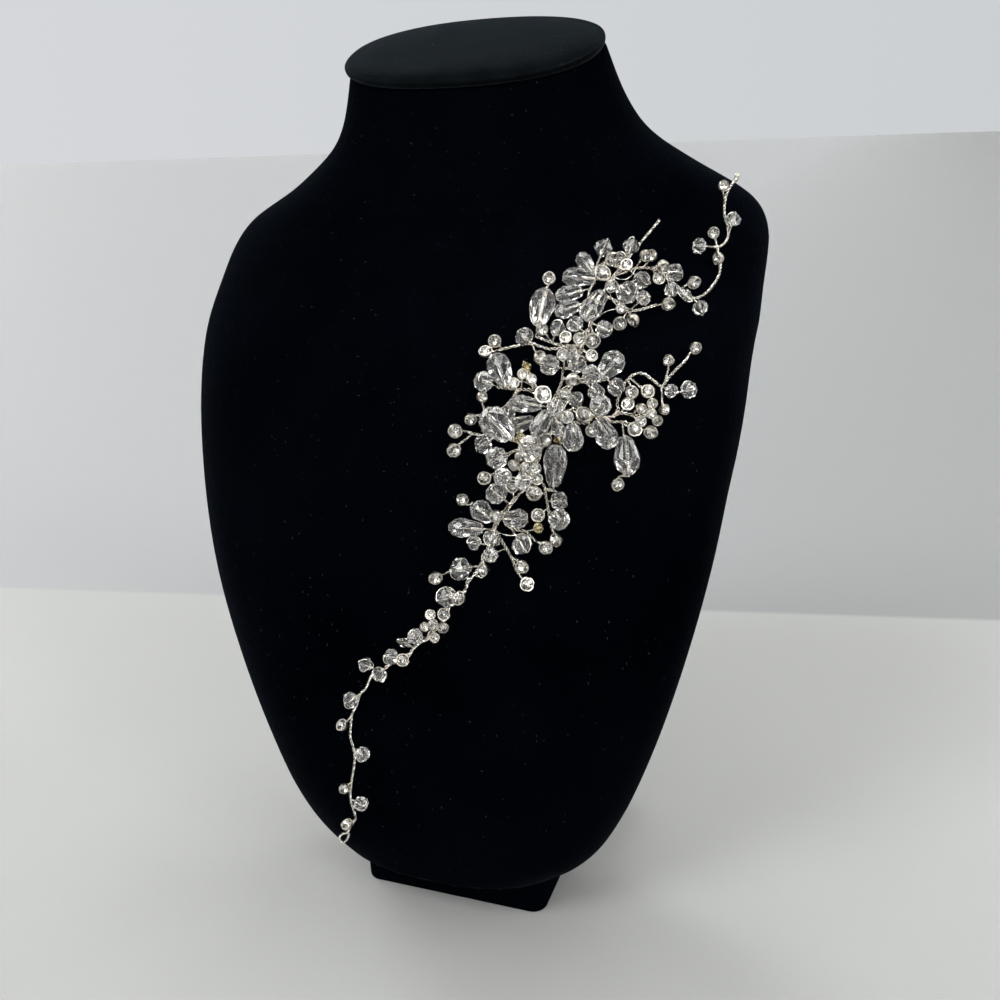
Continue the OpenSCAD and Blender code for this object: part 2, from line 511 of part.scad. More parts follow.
// Sets a piece down with its Z axis and its X axis along two directions
module set_down(at, z_dir, x_dir) {
    x = unit(x_dir - (x_dir * z_dir) * z_dir);
    y = cross(z_dir, x);
    multmatrix([
        [x[0], y[0], z_dir[0], at[0]],
        [x[1], y[1], z_dir[1], at[1]],
        [x[2], y[2], z_dir[2], at[2]]
    ]) children();
}

// One ring of the velvet form, at a share s of its height
function form_ring(s, grow = 0, up = 0) = let (
    w = half_w(min(s, 1)), deep = front_deep(min(s, 1)),
    back = back_low + (back_top - back_low) * max(0, (s - 0.788) / 0.212),
    tilt = neck_tilt * max(0, (s - tilt_from) / (1 - tilt_from))
) [for (k = [0 : form_sides - 1]) let (
    a = -360 * k / form_sides,
    ex = sign(cos(a)) * pow(abs(cos(a)), 2 / bust_square),
    ey = sign(sin(a)) * pow(abs(sin(a)), 2 / bust_square),
    x = (w + grow) * ex,
    y = (ey < 0 ? deep + grow : back * (deep + grow)) * ey
) [
    x,
    front_y(min(s, 1)) + deep + y * cos(tilt) - up * sin(tilt),
    base_h + s * bust_h + y * sin(tilt) + up * cos(tilt)
]];

module velvet_form() {
    shares = [for (i = [0 : len(levels) - 2]) for (k = [0 : form_steps - 1])
        levels[i][LEVEL] + (levels[i + 1][LEVEL] - levels[i][LEVEL]) * k / form_steps, 1];
    color(velvet_black) skin([for (s = shares) form_ring(s)]);
}

module neck_cap() {
    rise_0 = hollow;
    color(velvet_black) skin([
        form_ring(1, cap_lip * 0.4, rise_0),
        form_ring(1, cap_lip, rise_0 + cap_t * 0.3),
        form_ring(1, cap_lip, rise_0 + cap_t * 0.65),
        form_ring(1, -cap_lip * 0.4, rise_0 + cap_t * 0.93),
        form_ring(1, -cap_lip * 3, rise_0 + cap_t)
    ]);
}

module base_block() {
    front = levels[0][FRONT] * bust_d + base_setback;
    in_w = base_w / 2 - base_corner;
    color(velvet_black) translate([0, front, 0]) union() {
        translate([-base_w / 2, base_corner, 0]) cube([base_w, base_d - 2 * base_corner, base_h]);
        translate([-in_w, 0, 0]) cube([2 * in_w, base_d, base_h]);
        for (x = [-in_w, in_w], y = [base_corner, base_d - base_corner])
            translate([x, y, 0]) cylinder(h = base_h, r = base_corner, $fn = 48);
    }
}

module wrap(at, along) {
    up = velvet_normal(at);
    hull() bar([at - along * wrap_l / 2, at + along * wrap_l / 2], [up, up], wrap_d);
}

module twisted_wires() {
    color(silver) {
        for (route = concat([spine, end_loop], arms)) {
            points = [for (w = route) wire_point(w)];
            bar(points, [for (p = points) velvet_normal(p)], twist_d);
        }
        for (k = [1 : 3 : len(arms) - 1])
            wrap(wire_point(arms[k][0]), unit(wire_point(arms[k][1]) - wire_point(arms[k][0])));
        for (one = laid_stones)
            bar(one[7], [for (p = one[7]) cross(one[2], one[3])], stem_d);
    }
}

module stem_bore(one) {
    cylinder(h = one[5] + 4 * stem_tail, r = stem_d / 2 + bore_play, center = true, $fn = 24);
}

// Round crystal: flat facets all round, as three crossed eight-sided prisms cut it
module round_crystals() {
    color(clear) for (one = laid_stones) if (one[0] == BEAD) set_down(one[1], one[2], one[3]) difference() {
        intersection() {
            cylinder(h = one[5], d = one[4], center = true, $fn = facets);
            rotate([90, 22.5, 0]) cylinder(h = one[4] + 1, d = one[4], center = true, $fn = facets);
            rotate([22.5, 90, 0]) cylinder(h = one[4] + 1, d = one[4], center = true, $fn = facets);
        }
        stem_bore(one);
    }
}

module cone_stones(kind) {
    for (one = laid_stones) if (one[0] == kind) set_down(one[1], one[2], one[3]) difference() {
        cut_solid([[-one[5] / 2, stem_d], [0, one[4] / 2], [one[5] / 2, stem_d]], facets);
        stem_bore(one);
    }
}

module bicones() {
    color(clear) cone_stones(CONE);
}

module amber_bicones() {
    color(honey) cone_stones(AMBER);
}

// Bar with a roof's outline, which cuts two opposite facets of a rhinestone's crown
module crown(r, turn) {
    rotate([90, 0, turn]) linear_extrude(2.4 * r, center = true)
        polygon([
            [-r, 0], [r, 0], [r, girdle * stone_h], [r * stone_table, stone_h], [-r * stone_table, stone_h],
            [-r, girdle * stone_h]
        ]);
}

// Rhinestone: a flat back, facets and a table
module rhinestones() {
    color(bright) for (one = laid_stones) if (one[0] == CUP) set_down(one[1], one[3], one[2]) {
        r = (one[4] / 2 - cup_wall - seat_play) * cos(180 / facets);
        translate([0, 0, cup_seat + seat_play]) intersection() {
            rotate(180 / facets) cylinder(h = stone_h, r = r / cos(180 / facets), $fn = facets);
            crown(r, 0);
            crown(r, 45);
            crown(r, 90);
            crown(r, 135);
        }
    }
}

module stone_cups() {
    color(silver) for (one = laid_stones) if (one[0] == CUP) set_down(one[1], one[3], one[2]) difference() {
        translate([0, 0, -cup_back]) cylinder(h = cup_back + cup_seat + cup_rim, d = one[4], $fn = 48);
        translate([0, 0, cup_seat]) cylinder(h = cup_rim + 1, d = one[4] - 2 * cup_wall, $fn = 48);
        rotate([0, 90, 0]) cylinder(h = one[4] + 1, r = cup_bore, center = true, $fn = 24);
    }
}

// Pear-shaped drop with facets, a table at its wide end and a hole for its stem at the narrow end
module drop(number) {
    one = laid_drops[number - 1];
    r = one[4] / 2;
    l = one[5];
    through = norm(one[7][2] - one[7][0]) > norm(one[1] - one[7][0]);
    color(clear) set_down(one[1], one[2], one[3]) difference() {
        cut_solid([[-l / 2, 0.25 * r + stem_d / 2], [-0.15 * l, 0.7 * r], [0.18 * l, r], [0.4 * l, 0.7 * r],
            [l / 2, 0.35 * r]], facets);
        translate([0, 0, -l / 2 - 1])
            cylinder(h = 1 + (through ? l + 1 : l * drop_peg), r = stem_d / 2 + bore_play, $fn = 24);
    }
}

velvet_form();
neck_cap();
base_block();
twisted_wires();
round_crystals();
bicones();
amber_bicones();
rhinestones();
stone_cups();
drop(1);  // drop_01
drop(2);  // drop_02
drop(3);  // drop_03
drop(4);  // drop_04
drop(5);  // drop_05
drop(6);  // drop_06
drop(7);  // drop_07
drop(8);  // drop_08
drop(9);  // drop_09
drop(10);  // drop_10
drop(11);  // drop_11
drop(12);  // drop_12
drop(13);  // drop_13
drop(14);  // drop_14
drop(15);  // drop_15
drop(16);  // drop_16
drop(17);  // drop_17
drop(18);  // drop_18
drop(19);  // drop_19
drop(20);  // drop_20
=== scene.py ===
"""Hair vine of twisted silver wire, faceted crystals and foiled stones, laid over a black velvet neck bust.

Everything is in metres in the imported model's frame: +Z is up, the bust faces -Y, and the origin is
the middle of the base block's underside. The routes and stones below are in millimetres.
"""
import math
import random
from collections import namedtuple

import bpy
from mathutils import Matrix, Vector


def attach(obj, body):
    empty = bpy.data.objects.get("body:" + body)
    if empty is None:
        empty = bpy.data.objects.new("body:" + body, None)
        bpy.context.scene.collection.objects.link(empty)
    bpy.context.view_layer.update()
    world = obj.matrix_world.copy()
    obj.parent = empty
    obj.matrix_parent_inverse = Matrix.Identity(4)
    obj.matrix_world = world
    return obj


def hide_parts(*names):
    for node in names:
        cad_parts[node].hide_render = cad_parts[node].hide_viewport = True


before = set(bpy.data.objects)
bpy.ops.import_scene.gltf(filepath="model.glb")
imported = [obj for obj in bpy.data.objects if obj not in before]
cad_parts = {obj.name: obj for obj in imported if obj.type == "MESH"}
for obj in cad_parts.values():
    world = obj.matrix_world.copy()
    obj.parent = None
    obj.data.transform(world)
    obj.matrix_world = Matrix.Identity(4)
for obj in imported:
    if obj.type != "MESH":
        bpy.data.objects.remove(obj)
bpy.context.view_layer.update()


# ==== The velvet form ====
# A moulded neck and shoulders, hollow in the real stand, with black velvet drawn tight over it and
# glued under its lower edge. Its nap catches light along the sides.
MM = 0.001


def let_go():
    """Nothing stays selected, because an operator acts on all that is."""
    if bpy.context.object and bpy.context.object.mode != "OBJECT":
        bpy.ops.object.mode_set(mode="OBJECT")
    bpy.ops.object.select_all(action="DESELECT")


def take(piece):
    """This piece alone is selected and active."""
    let_go()
    piece.select_set(True)
    bpy.context.view_layer.objects.active = piece


def worked_copy(node, name):
    """The shape of a CAD node, with its loose triangles merged into one skin of quads."""
    piece = bpy.data.objects.new(name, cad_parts[node].data.copy())
    bpy.context.scene.collection.objects.link(piece)
    piece.data.materials.clear()
    take(piece)
    bpy.ops.object.mode_set(mode="EDIT")
    bpy.ops.mesh.select_all(action="SELECT")
    bpy.ops.mesh.remove_doubles(threshold=0.00001)
    bpy.ops.mesh.dissolve_limited(angle_limit=math.radians(0.05))
    bpy.ops.mesh.tris_convert_to_quads(face_threshold=math.radians(50), shape_threshold=math.radians(60))
    bpy.ops.object.mode_set(mode="OBJECT")
    return piece


def pick_faces(piece, wanted):
    """In edit mode, with only those faces selected that a test wants."""
    take(piece)
    for item in (*piece.data.vertices, *piece.data.edges):
        item.select = False
    for face in piece.data.polygons:
        face.select = bool(wanted(face))
    bpy.context.tool_settings.mesh_select_mode = (False, False, True)
    bpy.ops.object.mode_set(mode="EDIT")


def finish_with(piece, kind, **settings):
    """Adds a modifier with these settings and applies it."""
    take(piece)
    modifier = piece.modifiers.new(kind.title(), kind)
    for key, value in settings.items():
        setattr(modifier, key, value)
    bpy.ops.object.modifier_apply(modifier=modifier.name)


def dress(piece, material, slot, *nodes):
    """Gives a finished piece its material, its body and the CAD nodes that it stands for."""
    if material:
        piece.data.materials.clear()
        piece.data.materials.append(material)
    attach(piece, "root")
    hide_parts(*nodes)


def feed(socket, value):
    """Gives an input a value of its own, or another node's output."""
    if isinstance(value, bpy.types.NodeSocket):
        socket.id_data.links.new(value, socket)
    else:
        socket.default_value = (*value, 1) if socket.type == "RGBA" else value


def feed_all(node, **inputs):
    """Feeds the inputs that have these names."""
    for name, value in inputs.items():
        feed(node.inputs[name.replace("_", " ")], value)


def new_material(name, **constants):
    """A material with constant values set on its shader's own sockets."""
    material = bpy.data.materials.new(name)
    material.use_nodes = True
    shader = material.node_tree.nodes["Principled BSDF"]
    feed_all(shader, **constants)
    return material, material.node_tree, shader


def add_node(tree, kind, **inputs):
    """A node of this kind with its inputs fed."""
    node = tree.nodes.new("ShaderNode" + kind)
    feed_all(node, **inputs)
    return node


def uneven_group():
    """Noise on the object's own coordinates, from a low value to a high one."""
    group = bpy.data.node_groups.new("uneven", "ShaderNodeTree")
    for name in ("Scale", "Low", "High"):
        group.interface.new_socket(name, in_out="INPUT", socket_type="NodeSocketFloat")
    group.interface.new_socket("Value", in_out="OUTPUT", socket_type="NodeSocketFloat")
    given = group.nodes.new("NodeGroupInput").outputs
    outward = group.nodes.new("NodeGroupOutput")
    place = add_node(group, "TexCoord").outputs["Object"]
    noise = add_node(group, "TexNoise", Vector=place, Scale=given["Scale"], Detail=4, Roughness=0.6)
    spread = add_node(group, "MapRange", Value=noise.outputs["Fac"], From_Min=0.3, From_Max=0.7,
                      To_Min=given["Low"], To_Max=given["High"])
    feed_all(outward, Value=spread.outputs["Result"])
    return group


UNEVEN = uneven_group()


def uneven(tree, scale, low, high):
    """That noise as an output: how many waves to a metre, and its range of values."""
    node = add_node(tree, "Group")
    node.node_tree = UNEVEN
    feed_all(node, Scale=scale, Low=low, High=high)
    return node.outputs["Value"]


def mix_of(tree, share, first, second):
    """A colour between two, each a colour or an output, by a share."""
    mix = add_node(tree, "Mix", Factor=share)
    mix.data_type = "RGBA"
    feed(mix.inputs[6], first)
    feed(mix.inputs[7], second)
    return mix.outputs[2]


def math_of(tree, operation, first, second):
    """One step of arithmetic on two values, each a number or an output."""
    node = add_node(tree, "Math")
    node.operation = operation
    feed(node.inputs[0], first)
    feed(node.inputs[1], second)
    return node.outputs[0]


def bumps(tree, scale, strength, distance):
    """Fine bumps over the whole surface, for its normals."""
    bump = add_node(tree, "Bump", Strength=strength, Distance=distance)
    feed_all(bump, Height=uneven(tree, scale, 0, 1))
    return bump.outputs["Normal"]


FIBRE = 0.11  # how much of its cell a fibre takes


def lint_on(tree, scale, stretch, turn, keep):
    """A mask of stray fibres: a share of a stretched pattern's cells, each with a small mark in it."""
    place = add_node(tree, "TexCoord").outputs["Object"]
    laid = add_node(tree, "Mapping", Vector=place, Scale=stretch, Rotation=turn)
    cells = add_node(tree, "TexVoronoi", Vector=laid.outputs["Vector"], Scale=scale)
    near = math_of(tree, "LESS_THAN", cells.outputs["Distance"], FIBRE)
    pick = add_node(tree, "SeparateColor", Color=cells.outputs["Color"])
    return math_of(tree, "MULTIPLY", near, math_of(tree, "GREATER_THAN", pick.outputs["Red"], 1 - keep))


def velvet(name, nap_scale, sheen, patches=14, ground=(0.0002, 0.0004, 0.001),
           brushed=(0.001, 0.0016, 0.003), lint_scale=1300, lint_tone=(0.05, 0.058, 0.06)):
    """Black velvet: a dark ground, sheen where the nap stands, patches where it is brushed, and lint."""
    material, tree, shader = new_material(
        name, Sheen_Weight=sheen, Sheen_Roughness=0.25, Sheen_Tint=(0.55, 0.68, 0.8), Specular_IOR_Level=0)
    pile = mix_of(tree, uneven(tree, patches, 0, 1), ground, brushed)
    lint = lint_on(tree, lint_scale, (1, 1, 0.2), (0.5, 0.2, 0.2), 0.05)
    for stretch, turn, keep in (((0.2, 1, 1), (0.3, 0.5, 0.4), 0.05), ((1, 1, 0.2), (0.2, 0.9, 0.4), 0.05),
                                ((1, 1, 1), (0, 0, 0), 0.012)):
        lint = math_of(tree, "MAXIMUM", lint, lint_on(tree, lint_scale, stretch, turn, keep))
    fibre = mix_of(tree, uneven(tree, 90, 0, 1), (0.008, 0.011, 0.012), lint_tone)
    feed_all(shader, Base_Color=mix_of(tree, lint, pile, fibre), Roughness=uneven(tree, 60, 0.8, 1),
             Normal=bumps(tree, nap_scale, 0.5, 0.4 * MM))
    return material


def is_end(face):
    """The flat ends of a shell have many corners, and the faces of its sides have four."""
    return len(face.vertices) > 8


def soften(piece, pile):
    """Rounds a shell off, and stands the velvet's pile on it."""
    finish_with(piece, "SUBSURF", levels=2, render_levels=2)
    finish_with(piece, "DISPLACE", strength=pile, mid_level=0)


def eased(low, high, value):
    """From 0 at low to 1 at high, with soft ends."""
    t = min(1, max(0, (value - low) / (high - low)))
    return t * t * (3 - 2 * t)


PILE = 0.25 * MM  # how far the velvet stands off the shell
CRISP = math.radians(50)  # an edge sharper than this stays an edge
NECK_FLARE = 0.35 * MM
SHOULDER_SWELL = 3.2 * MM
HEM_LIFT = 3.8 * MM
HEM_FALL = 0.04 * MM  # how much less it lifts in each millimetre to the right
form = worked_copy("velvet_form", "velvet_bust_form")
neck_cut = max(filter(is_end, form.data.polygons), key=lambda face: face.center.z)
neck_middle, neck_up = neck_cut.center.copy(), neck_cut.normal.copy()
pick_faces(form, is_end)
bpy.ops.mesh.region_to_loop()
bpy.ops.transform.edge_crease(value=0.95)
soften(form, PILE)

# The neck flares a little to meet its cap, the shoulder behind the vine's tip is fuller, and the hem
# lifts off the base towards the front. The places are in millimetres.
for point, normal in [(v, v.normal.copy()) for v in form.data.vertices]:
    x, y, z = point.co / MM
    below = (neck_middle - point.co).dot(neck_up) / MM
    if normal.dot(neck_up) < 0.7:  # on the side of the neck, not on its cut
        point.co += normal * NECK_FLARE * (1 - eased(0, 16, below))
    beside_tip = eased(42, 72, x) * eased(12, 46, y)
    point.co += normal * SHOULDER_SWELL * beside_tip * eased(192, 221, z) * (1 - eased(221, 246, z))
    lift = HEM_LIFT - HEM_FALL * max(0, x)
    point.co.z += lift * (1 - eased(12, 40, z)) * (1 - eased(-42, -5, y))
bpy.ops.object.shade_smooth_by_angle(angle=CRISP)
dress(form, velvet("black_velvet_form", 900, 0.035), "black_velvet", "velvet_form")


# ==== The neck cap ====
# A thin padded disc in the same velvet, glued on the cut of the neck, with its cloth turned over
# the edge. It is crowned, and flush with the neck where they meet.
RINGS = 4  # rings of faces laid out on the top and the underside, which keep the padding nearly flat
RING_WIDTH = 4.5 * MM
CAP_SHIFT = Vector((-0.6 * MM, 0, 0))
CROWN, TO_FRONT, TO_RIGHT = 1.2, 0.3, 0.5  # fall to the rim in millimetres: all round, and how much more
cap = worked_copy("neck_cap", "padded_neck_cap")
pick_faces(cap, is_end)
for _ in range(RINGS):
    bpy.ops.mesh.inset(thickness=RING_WIDTH)
soften(cap, 2 * PILE)

# The padding crowns it: its top falls away towards the rim, most of all at the front and the right
middle = sum((v.co for v in cap.data.vertices), Vector()) / len(cap.data.vertices)
upward = max(cap.data.polygons, key=lambda face: face.area * (face.normal.z > 0)).normal.copy()
forward = Vector((1, 0, 0)).cross(upward)
half_x = max(abs(v.co.x - middle.x) for v in cap.data.vertices)
half_y = max(abs((v.co - middle).dot(forward)) for v in cap.data.vertices)
for point in cap.data.vertices:
    off = point.co - middle
    back, rise = off.dot(forward) / half_y, off.dot(upward) / MM
    fall = CROWN - TO_FRONT * back + TO_RIGHT * max(0, off.x / half_x)
    point.co -= upward * eased(0, 2.4, rise) * fall * MM * math.hypot(off.x / half_x, back) ** 4
cap.data.transform(Matrix.Translation(CAP_SHIFT))
bpy.ops.object.shade_smooth()
# The cap's pile is painted far lighter than the form's: a painted sheen for the light on its top, over
# brushed patches that are real. Its lint is real, only brighter
cap_velvet_painted_sheen = velvet("black_velvet_cap_painted_sheen", 2600, 0.12, patches=110, ground=(0.0022, 0.003, 0.0038),
                    brushed=(0.0048, 0.0064, 0.0076), lint_scale=900, lint_tone=(0.16, 0.17, 0.17))
dress(cap, cap_velvet_painted_sheen, "black_velvet", "neck_cap")


# ==== The base block ====
# A small board under the form, set back from its front and covered in velvet, with its corners
# rounded and its edges softened by the cloth.
OFF_CENTRE = (2.8 * MM, -1.1 * MM, 0)  # the form isn't glued on quite in the middle
BLOCK_WIDTH = 0.955  # as a share of the solid's
CLOTH_EDGE = 0.6 * MM  # how far the cloth rounds its edges
base = worked_copy("base_block", "velvet_base_block")
base.data.transform(Matrix.Translation(OFF_CENTRE) @ Matrix.Diagonal((BLOCK_WIDTH, 1, 1, 1)))
finish_with(base, "BEVEL", width=CLOTH_EDGE, segments=3, limit_method="ANGLE", angle_limit=CRISP)
bpy.ops.object.shade_smooth_by_angle(angle=math.radians(40))
dress(base, velvet("black_velvet_base", 1000, 0.012), "black_velvet", "base_block")


# ==== The twisted wires ====
# Two thin silver-coloured strands twisted together make the spine, its end loop and the arms, and
# a few turns of a single strand bind each arm where it leaves.
STRAND = 0.14  # radius of one strand of the spine and arms, in millimetres as all lengths on the vine are
PITCH = 2.3  # length of one full twist
APART = 2.2  # how far a strand winds from the middle of its pair, in radii of the strand
BINDING = 0.16  # radius of the strand that binds the joins
BOUND = 2.2  # length of an arm that it binds
SILVER = (1.0, 0.98, 0.93)
SHEEN = (0.14, 0.3)  # its roughness where it is polished, and where it has dulled
ROUTES = """
63.75 10.24 215.77, 58.7 4.63 209.11, 56.2 -0.24 205.12, 53.21 -5.05 201.13, 51.72 -10.34 196.15,
50.72 -15.91 191.16, 49.71 -21.02 186.17, 49.2 -24.52 181.16, 47.8 -27.56 175.68, 46.2 -30.16 170.19,
43.71 -32.41 165.2, 41.21 -34.37 160.21, 39.22 -36.01 155.23, 36.73 -37.6 150.24, 33.24 -39.16 145.25,
29.75 -40.51 140.27, 27.75 -41.49 135.28, 25.66 -42.42 129.8, 23.27 -43.08 125.91, 21.48 -43.5 123.32,
20.48 -43.83 120.83, 18.49 -44.2 118.34, 16.09 -44.53 116.34, 15.3 -44.78 113.95, 13.5 -45.13 110.86,
10.81 -45.47 107.87, 8.62 -45.68 105.58, 5.33 -45.9 102.89, 1.85 -46.12 98.91, -1.14 -46.21 96.91,
-4.13 -46.24 95.42, -6.42 -46.28 93.43, -9.61 -46.25 91.74, -12.4 -46.28 86.46, -14.59 -46.22 83.97,
-16.18 -46.19 79.98, -18.07 -46.11 76.5, -19.07 -46.1 72.02, -19.56 -46.1 68.03, -18.86 -46.19 64.05,
-18.96 -46.18 59.56, -21.03 -45.84 51.61, -22.31 -45.43 44.66, -21.48 -45.07 37.72, -22.66 -44.64 35.26,
-25.98 -43.31 29.87, -28.22 -42.5 28.15, -30.21 -41.58 26.01, -30.7 -41.12 24.47, -30.26 -41.05 23.53,
-29.4 -41.28 23.37, -28.5 -41.76 24.34, -26.74 -42.64 26.64, -25.59 -43.31 29.27

82.76 25.54 226.57, 82.35 24.95 225.07, 81.15 23.31 223.38, 80.24 22.21 221.38, 79.84 21.75 219.08,
79.74 21.64 216.59, 80.14 22.09 214.1, 80.75 22.78 212.11, 81.36 20.81 210.33, 80.96 18.08 208.53,
79.75 15.79 207.63, 78.35 14.47 207.62

55.7 -1.09 204.42, 58.19 -0.87 203.72, 61.19 0.5 203.92, 65.18 1.52 203.12, 68.17 1 200.93,
70.66 0.67 199.03, 73.16 0.06 196.75, 75.65 0.74 195.65, 77.95 3.29 196.35, 79.65 6.74 198.35,
80.64 9.82 200.64, 80.64 12.12 203.13, 79.85 13.76 205.63, 79.05 15.11 207.62

55.5 -1.44 204.12, 51.22 -1.83 205.12, 48.62 -3.13 204.52, 49.42 -5.6 201.73, 48.42 -8.34 199.13,
48.73 -10.9 196.44, 51.52 -11.96 194.65

52.11 -8.71 197.64, 56.2 -8.86 196.15, 59.2 -9.93 194.05, 61.69 -9.11 193.85, 64.68 -7.11 194.45,
66.68 -5.6 194.95

49.81 -20.65 186.57, 45.23 -22.31 186.07, 41.24 -23.48 185.77, 38.25 -23.49 186.47, 35.76 -23.41 187.07,
31.27 -24.73 186.37, 27.48 -25.9 185.57

47.22 -21.63 186.27, 44.23 -22.21 186.47, 41.24 -22.18 187.27, 38.55 -21.88 188.17, 36.46 -21.68 188.77

49.1 -24.76 180.77, 45.71 -25.62 180.87, 45.5 -27.02 178.17, 44.81 -28.28 175.78, 43.81 -29.37 173.78,
42.81 -30.53 171.39, 42.61 -31.37 169.19, 44.3 -31.87 166.5

43.21 -30.06 172.38, 41.71 -29.68 174.18, 39.22 -29.48 175.88, 35.73 -30.08 175.98, 32.24 -30.55 176.18,
28.25 -30.91 176.58

34.23 -30.33 175.98, 32.54 -31.64 173.48, 30.04 -32.96 170.99, 27.75 -33.32 170.79, 25.06 -33.98 169.79

32.64 -31.63 173.48, 32.84 -33.2 169.19, 33.73 -34.34 165.2, 33.43 -34.98 163.21

42.01 -33.77 161.81, 38.22 -34.49 162.01, 33.23 -35.01 163.21, 30.24 -35.38 163.41, 27.25 -35.52 164.21,
24.26 -35.82 164.31, 21.07 -35.9 165.01

40.81 -34.66 159.41, 37.22 -35 160.81, 33.43 -35.84 160.01, 31.44 -36.74 157.62, 30.04 -37.52 155.13

48.5 -26.22 178.17, 52.19 -25.5 177.37, 54.68 -24.53 177.67, 57.18 -23.4 178.17

40.32 -35.12 158.02, 37.42 -35.87 157.22, 35.73 -36.57 155.53, 37.22 -37.25 151.44

45.8 -30.54 169.39, 48.69 -29.2 170.99, 51.69 -28.24 171.19, 53.78 -28.28 169.19, 53.18 -29.02 167.59,
51.39 -29.66 167.4, 48.99 -30.23 167.79, 45.4 -30.91 168.59

53.78 -28.28 169.19, 58.17 -26.91 168.59, 61.17 -25.4 169.39, 65.16 -23.82 168.6, 68.15 -22.37 168.2

57.17 -27.29 168.59, 58.77 -27.07 167.4, 62.16 -25.74 167.1, 64.76 -24.94 165.8, 66.45 -24.32 165.01

59.17 -26.44 168.79, 60.37 -25.46 170.19, 59.97 -24.87 172.19, 60.77 -23.31 175.18, 62.16 -21.48 177.87,
64.16 -19.98 179.07, 66.16 -19.17 178.67, 68.35 -18.78 176.98, 70.55 -18.19 175.38, 71.75 -16.71 176.98,
73.44 -14.62 178.98, 75.14 -12.58 180.58, 76.14 -11.07 181.98

38.82 -36.32 154.23, 42.21 -36.19 151.73, 43.01 -36.66 148.74, 43.61 -37.11 145.75, 44.21 -37.6 142.26,
45.01 -37.9 139.27, 45.41 -37.93 138.47

42.61 -36.39 150.44, 44.8 -35.97 150.04, 45.8 -35.81 149.64

32.24 -39.56 143.86, 32.14 -40.08 140.87, 35.23 -39.86 139.27, 37.73 -39.49 138.87, 39.72 -39.4 136.97,
41.42 -39.22 135.88

29.25 -40.73 139.27, 31.44 -40.95 135.78, 32.84 -41.05 133.59, 34.24 -41.19 130.79, 35.43 -41.35 127.8,
36.63 -41.34 126.11

25.46 -42.49 129.3, 26.56 -42.54 127.91, 26.66 -42.68 126.51, 25.56 -42.9 125.51, 24.07 -43.01 125.91
"""
# Each paragraph is a route and each point on it is across, deep and up. The first is the spine with its
# end loop, and the others are the arms, each from where it starts.
ROUTES = [[tuple(float(n) for n in point.split()) for point in route.split(",")]
          for route in ROUTES.strip().split("\n\n")]


def along(points, step):
    """Points on a smooth line through these points, about a step apart."""
    points = [Vector(p) for p in points]
    line = []
    for before, a, b, after in zip([points[0], *points], points, points[1:], [*points[2:], points[-1]]):
        count = max(1, round((b - a).length / step))
        for k in range(count):
            t = k / count
            line.append(0.5 * (2 * a + (b - before) * t + (2 * before - 5 * a + 4 * b - after) * t * t
                               + (3 * a - before - 3 * b + after) * t ** 3))
    return line + [points[-1]]


def wound(line, radius, pitch, start=0.0):
    """A line that winds round another at a radius, one turn in each pitch."""
    out, angle = [], start
    side = (line[1] - line[0]).orthogonal().normalized()
    for i, p in enumerate(line):
        ahead = (line[min(i + 1, len(line) - 1)] - line[max(i - 1, 0)]).normalized()
        side = (side - side.dot(ahead) * ahead).normalized()
        if i:
            angle += 2 * math.pi * (p - line[i - 1]).length / pitch
        out.append(p + radius * (math.cos(angle) * side + math.sin(angle) * ahead.cross(side)))
    return out


def drawn_wire(name, strands, radius):
    """Round wire of one thickness along each of these lines, as one mesh with closed ends."""
    let_go()
    shape = bpy.data.curves.new(name, "CURVE")
    shape.dimensions = "3D"
    shape.bevel_depth = radius * MM
    shape.bevel_resolution = 1
    shape.use_fill_caps = True
    for strand in strands:
        spline = shape.splines.new("POLY")
        spline.points.add(len(strand) - 1)
        for point, place in zip(spline.points, strand):
            point.co = (*(place * MM), 1)
    piece = bpy.data.objects.new(name, shape)
    bpy.context.scene.collection.objects.link(piece)
    take(piece)
    bpy.ops.object.convert(target="MESH")
    bpy.ops.object.shade_smooth_by_angle(angle=CRISP)
    return bpy.context.object


def joined(name, pieces):
    """These pieces as one."""
    let_go()
    for piece in pieces:
        piece.select_set(True)
    bpy.context.view_layer.objects.active = pieces[0]
    bpy.ops.object.join()
    pieces[0].name = pieces[0].data.name = name
    return pieces[0]


def silver(name, colour, low, high):
    """Bright plated metal, a little uneven in its polish, with a trace of tarnish."""
    material, tree, shader = new_material(name, Metallic=1)
    tarnish = uneven(tree, 260, 0, 1)
    dull = tuple(c * s for c, s in zip(colour, (0.9, 0.86, 0.8)))
    feed_all(shader, Base_Color=mix_of(tree, tarnish, colour, dull), Roughness=uneven(tree, 700, low, high),
             Normal=bumps(tree, 2500, 0.15, 0.05 * MM))
    return material


random.seed(7)
strands = []
for route in ROUTES:
    line = along(route, 0.34)
    strands += [wound(line, APART * STRAND, PITCH, turn) for turn in (0, math.pi)]
spine_and_arms = drawn_wire("twisted_pairs", strands, STRAND)

turns = []
for arm in ROUTES[1:]:
    start = along(arm, 0.05)[:round(BOUND / 0.05)]
    turns.append(wound(start, 3 * STRAND + 0.6 * BINDING, 2.4 * BINDING, random.uniform(0, 6)))
wandering = wound(along(ROUTES[0][4:-22], 0.5), radius=0.62, pitch=9)  # round the middle of the spine
bindings = drawn_wire("binding_turns", turns + [wandering], BINDING)
wires = joined("twisted_wires_dressed", [spine_and_arms, bindings])
dress(wires, silver("silver_wire_metal", SILVER, *SHEEN), "silver_wire", "twisted_wires")


# ==== The stems ====
# Each stone sits on its own thinner twisted pair, which runs through its hole. On a round crystal
# or a drop one strand comes back round the outside and is twisted in again.
THIN = 0.1  # radius of one strand of a stem
STEM_PITCH = 2
BEFORE = 0.5  # how far before its hole a stem bends towards it
TAIL = 0.3  # how far it comes out at the far end, or in a cup stops short of it
STEP = 0.4  # from one point on a stem to the next
LOOSE = 0.12  # radius of a loose strand
CROSSINGS, TRIES = 56, 900  # how many of those cross the clusters, and how often a place is tried
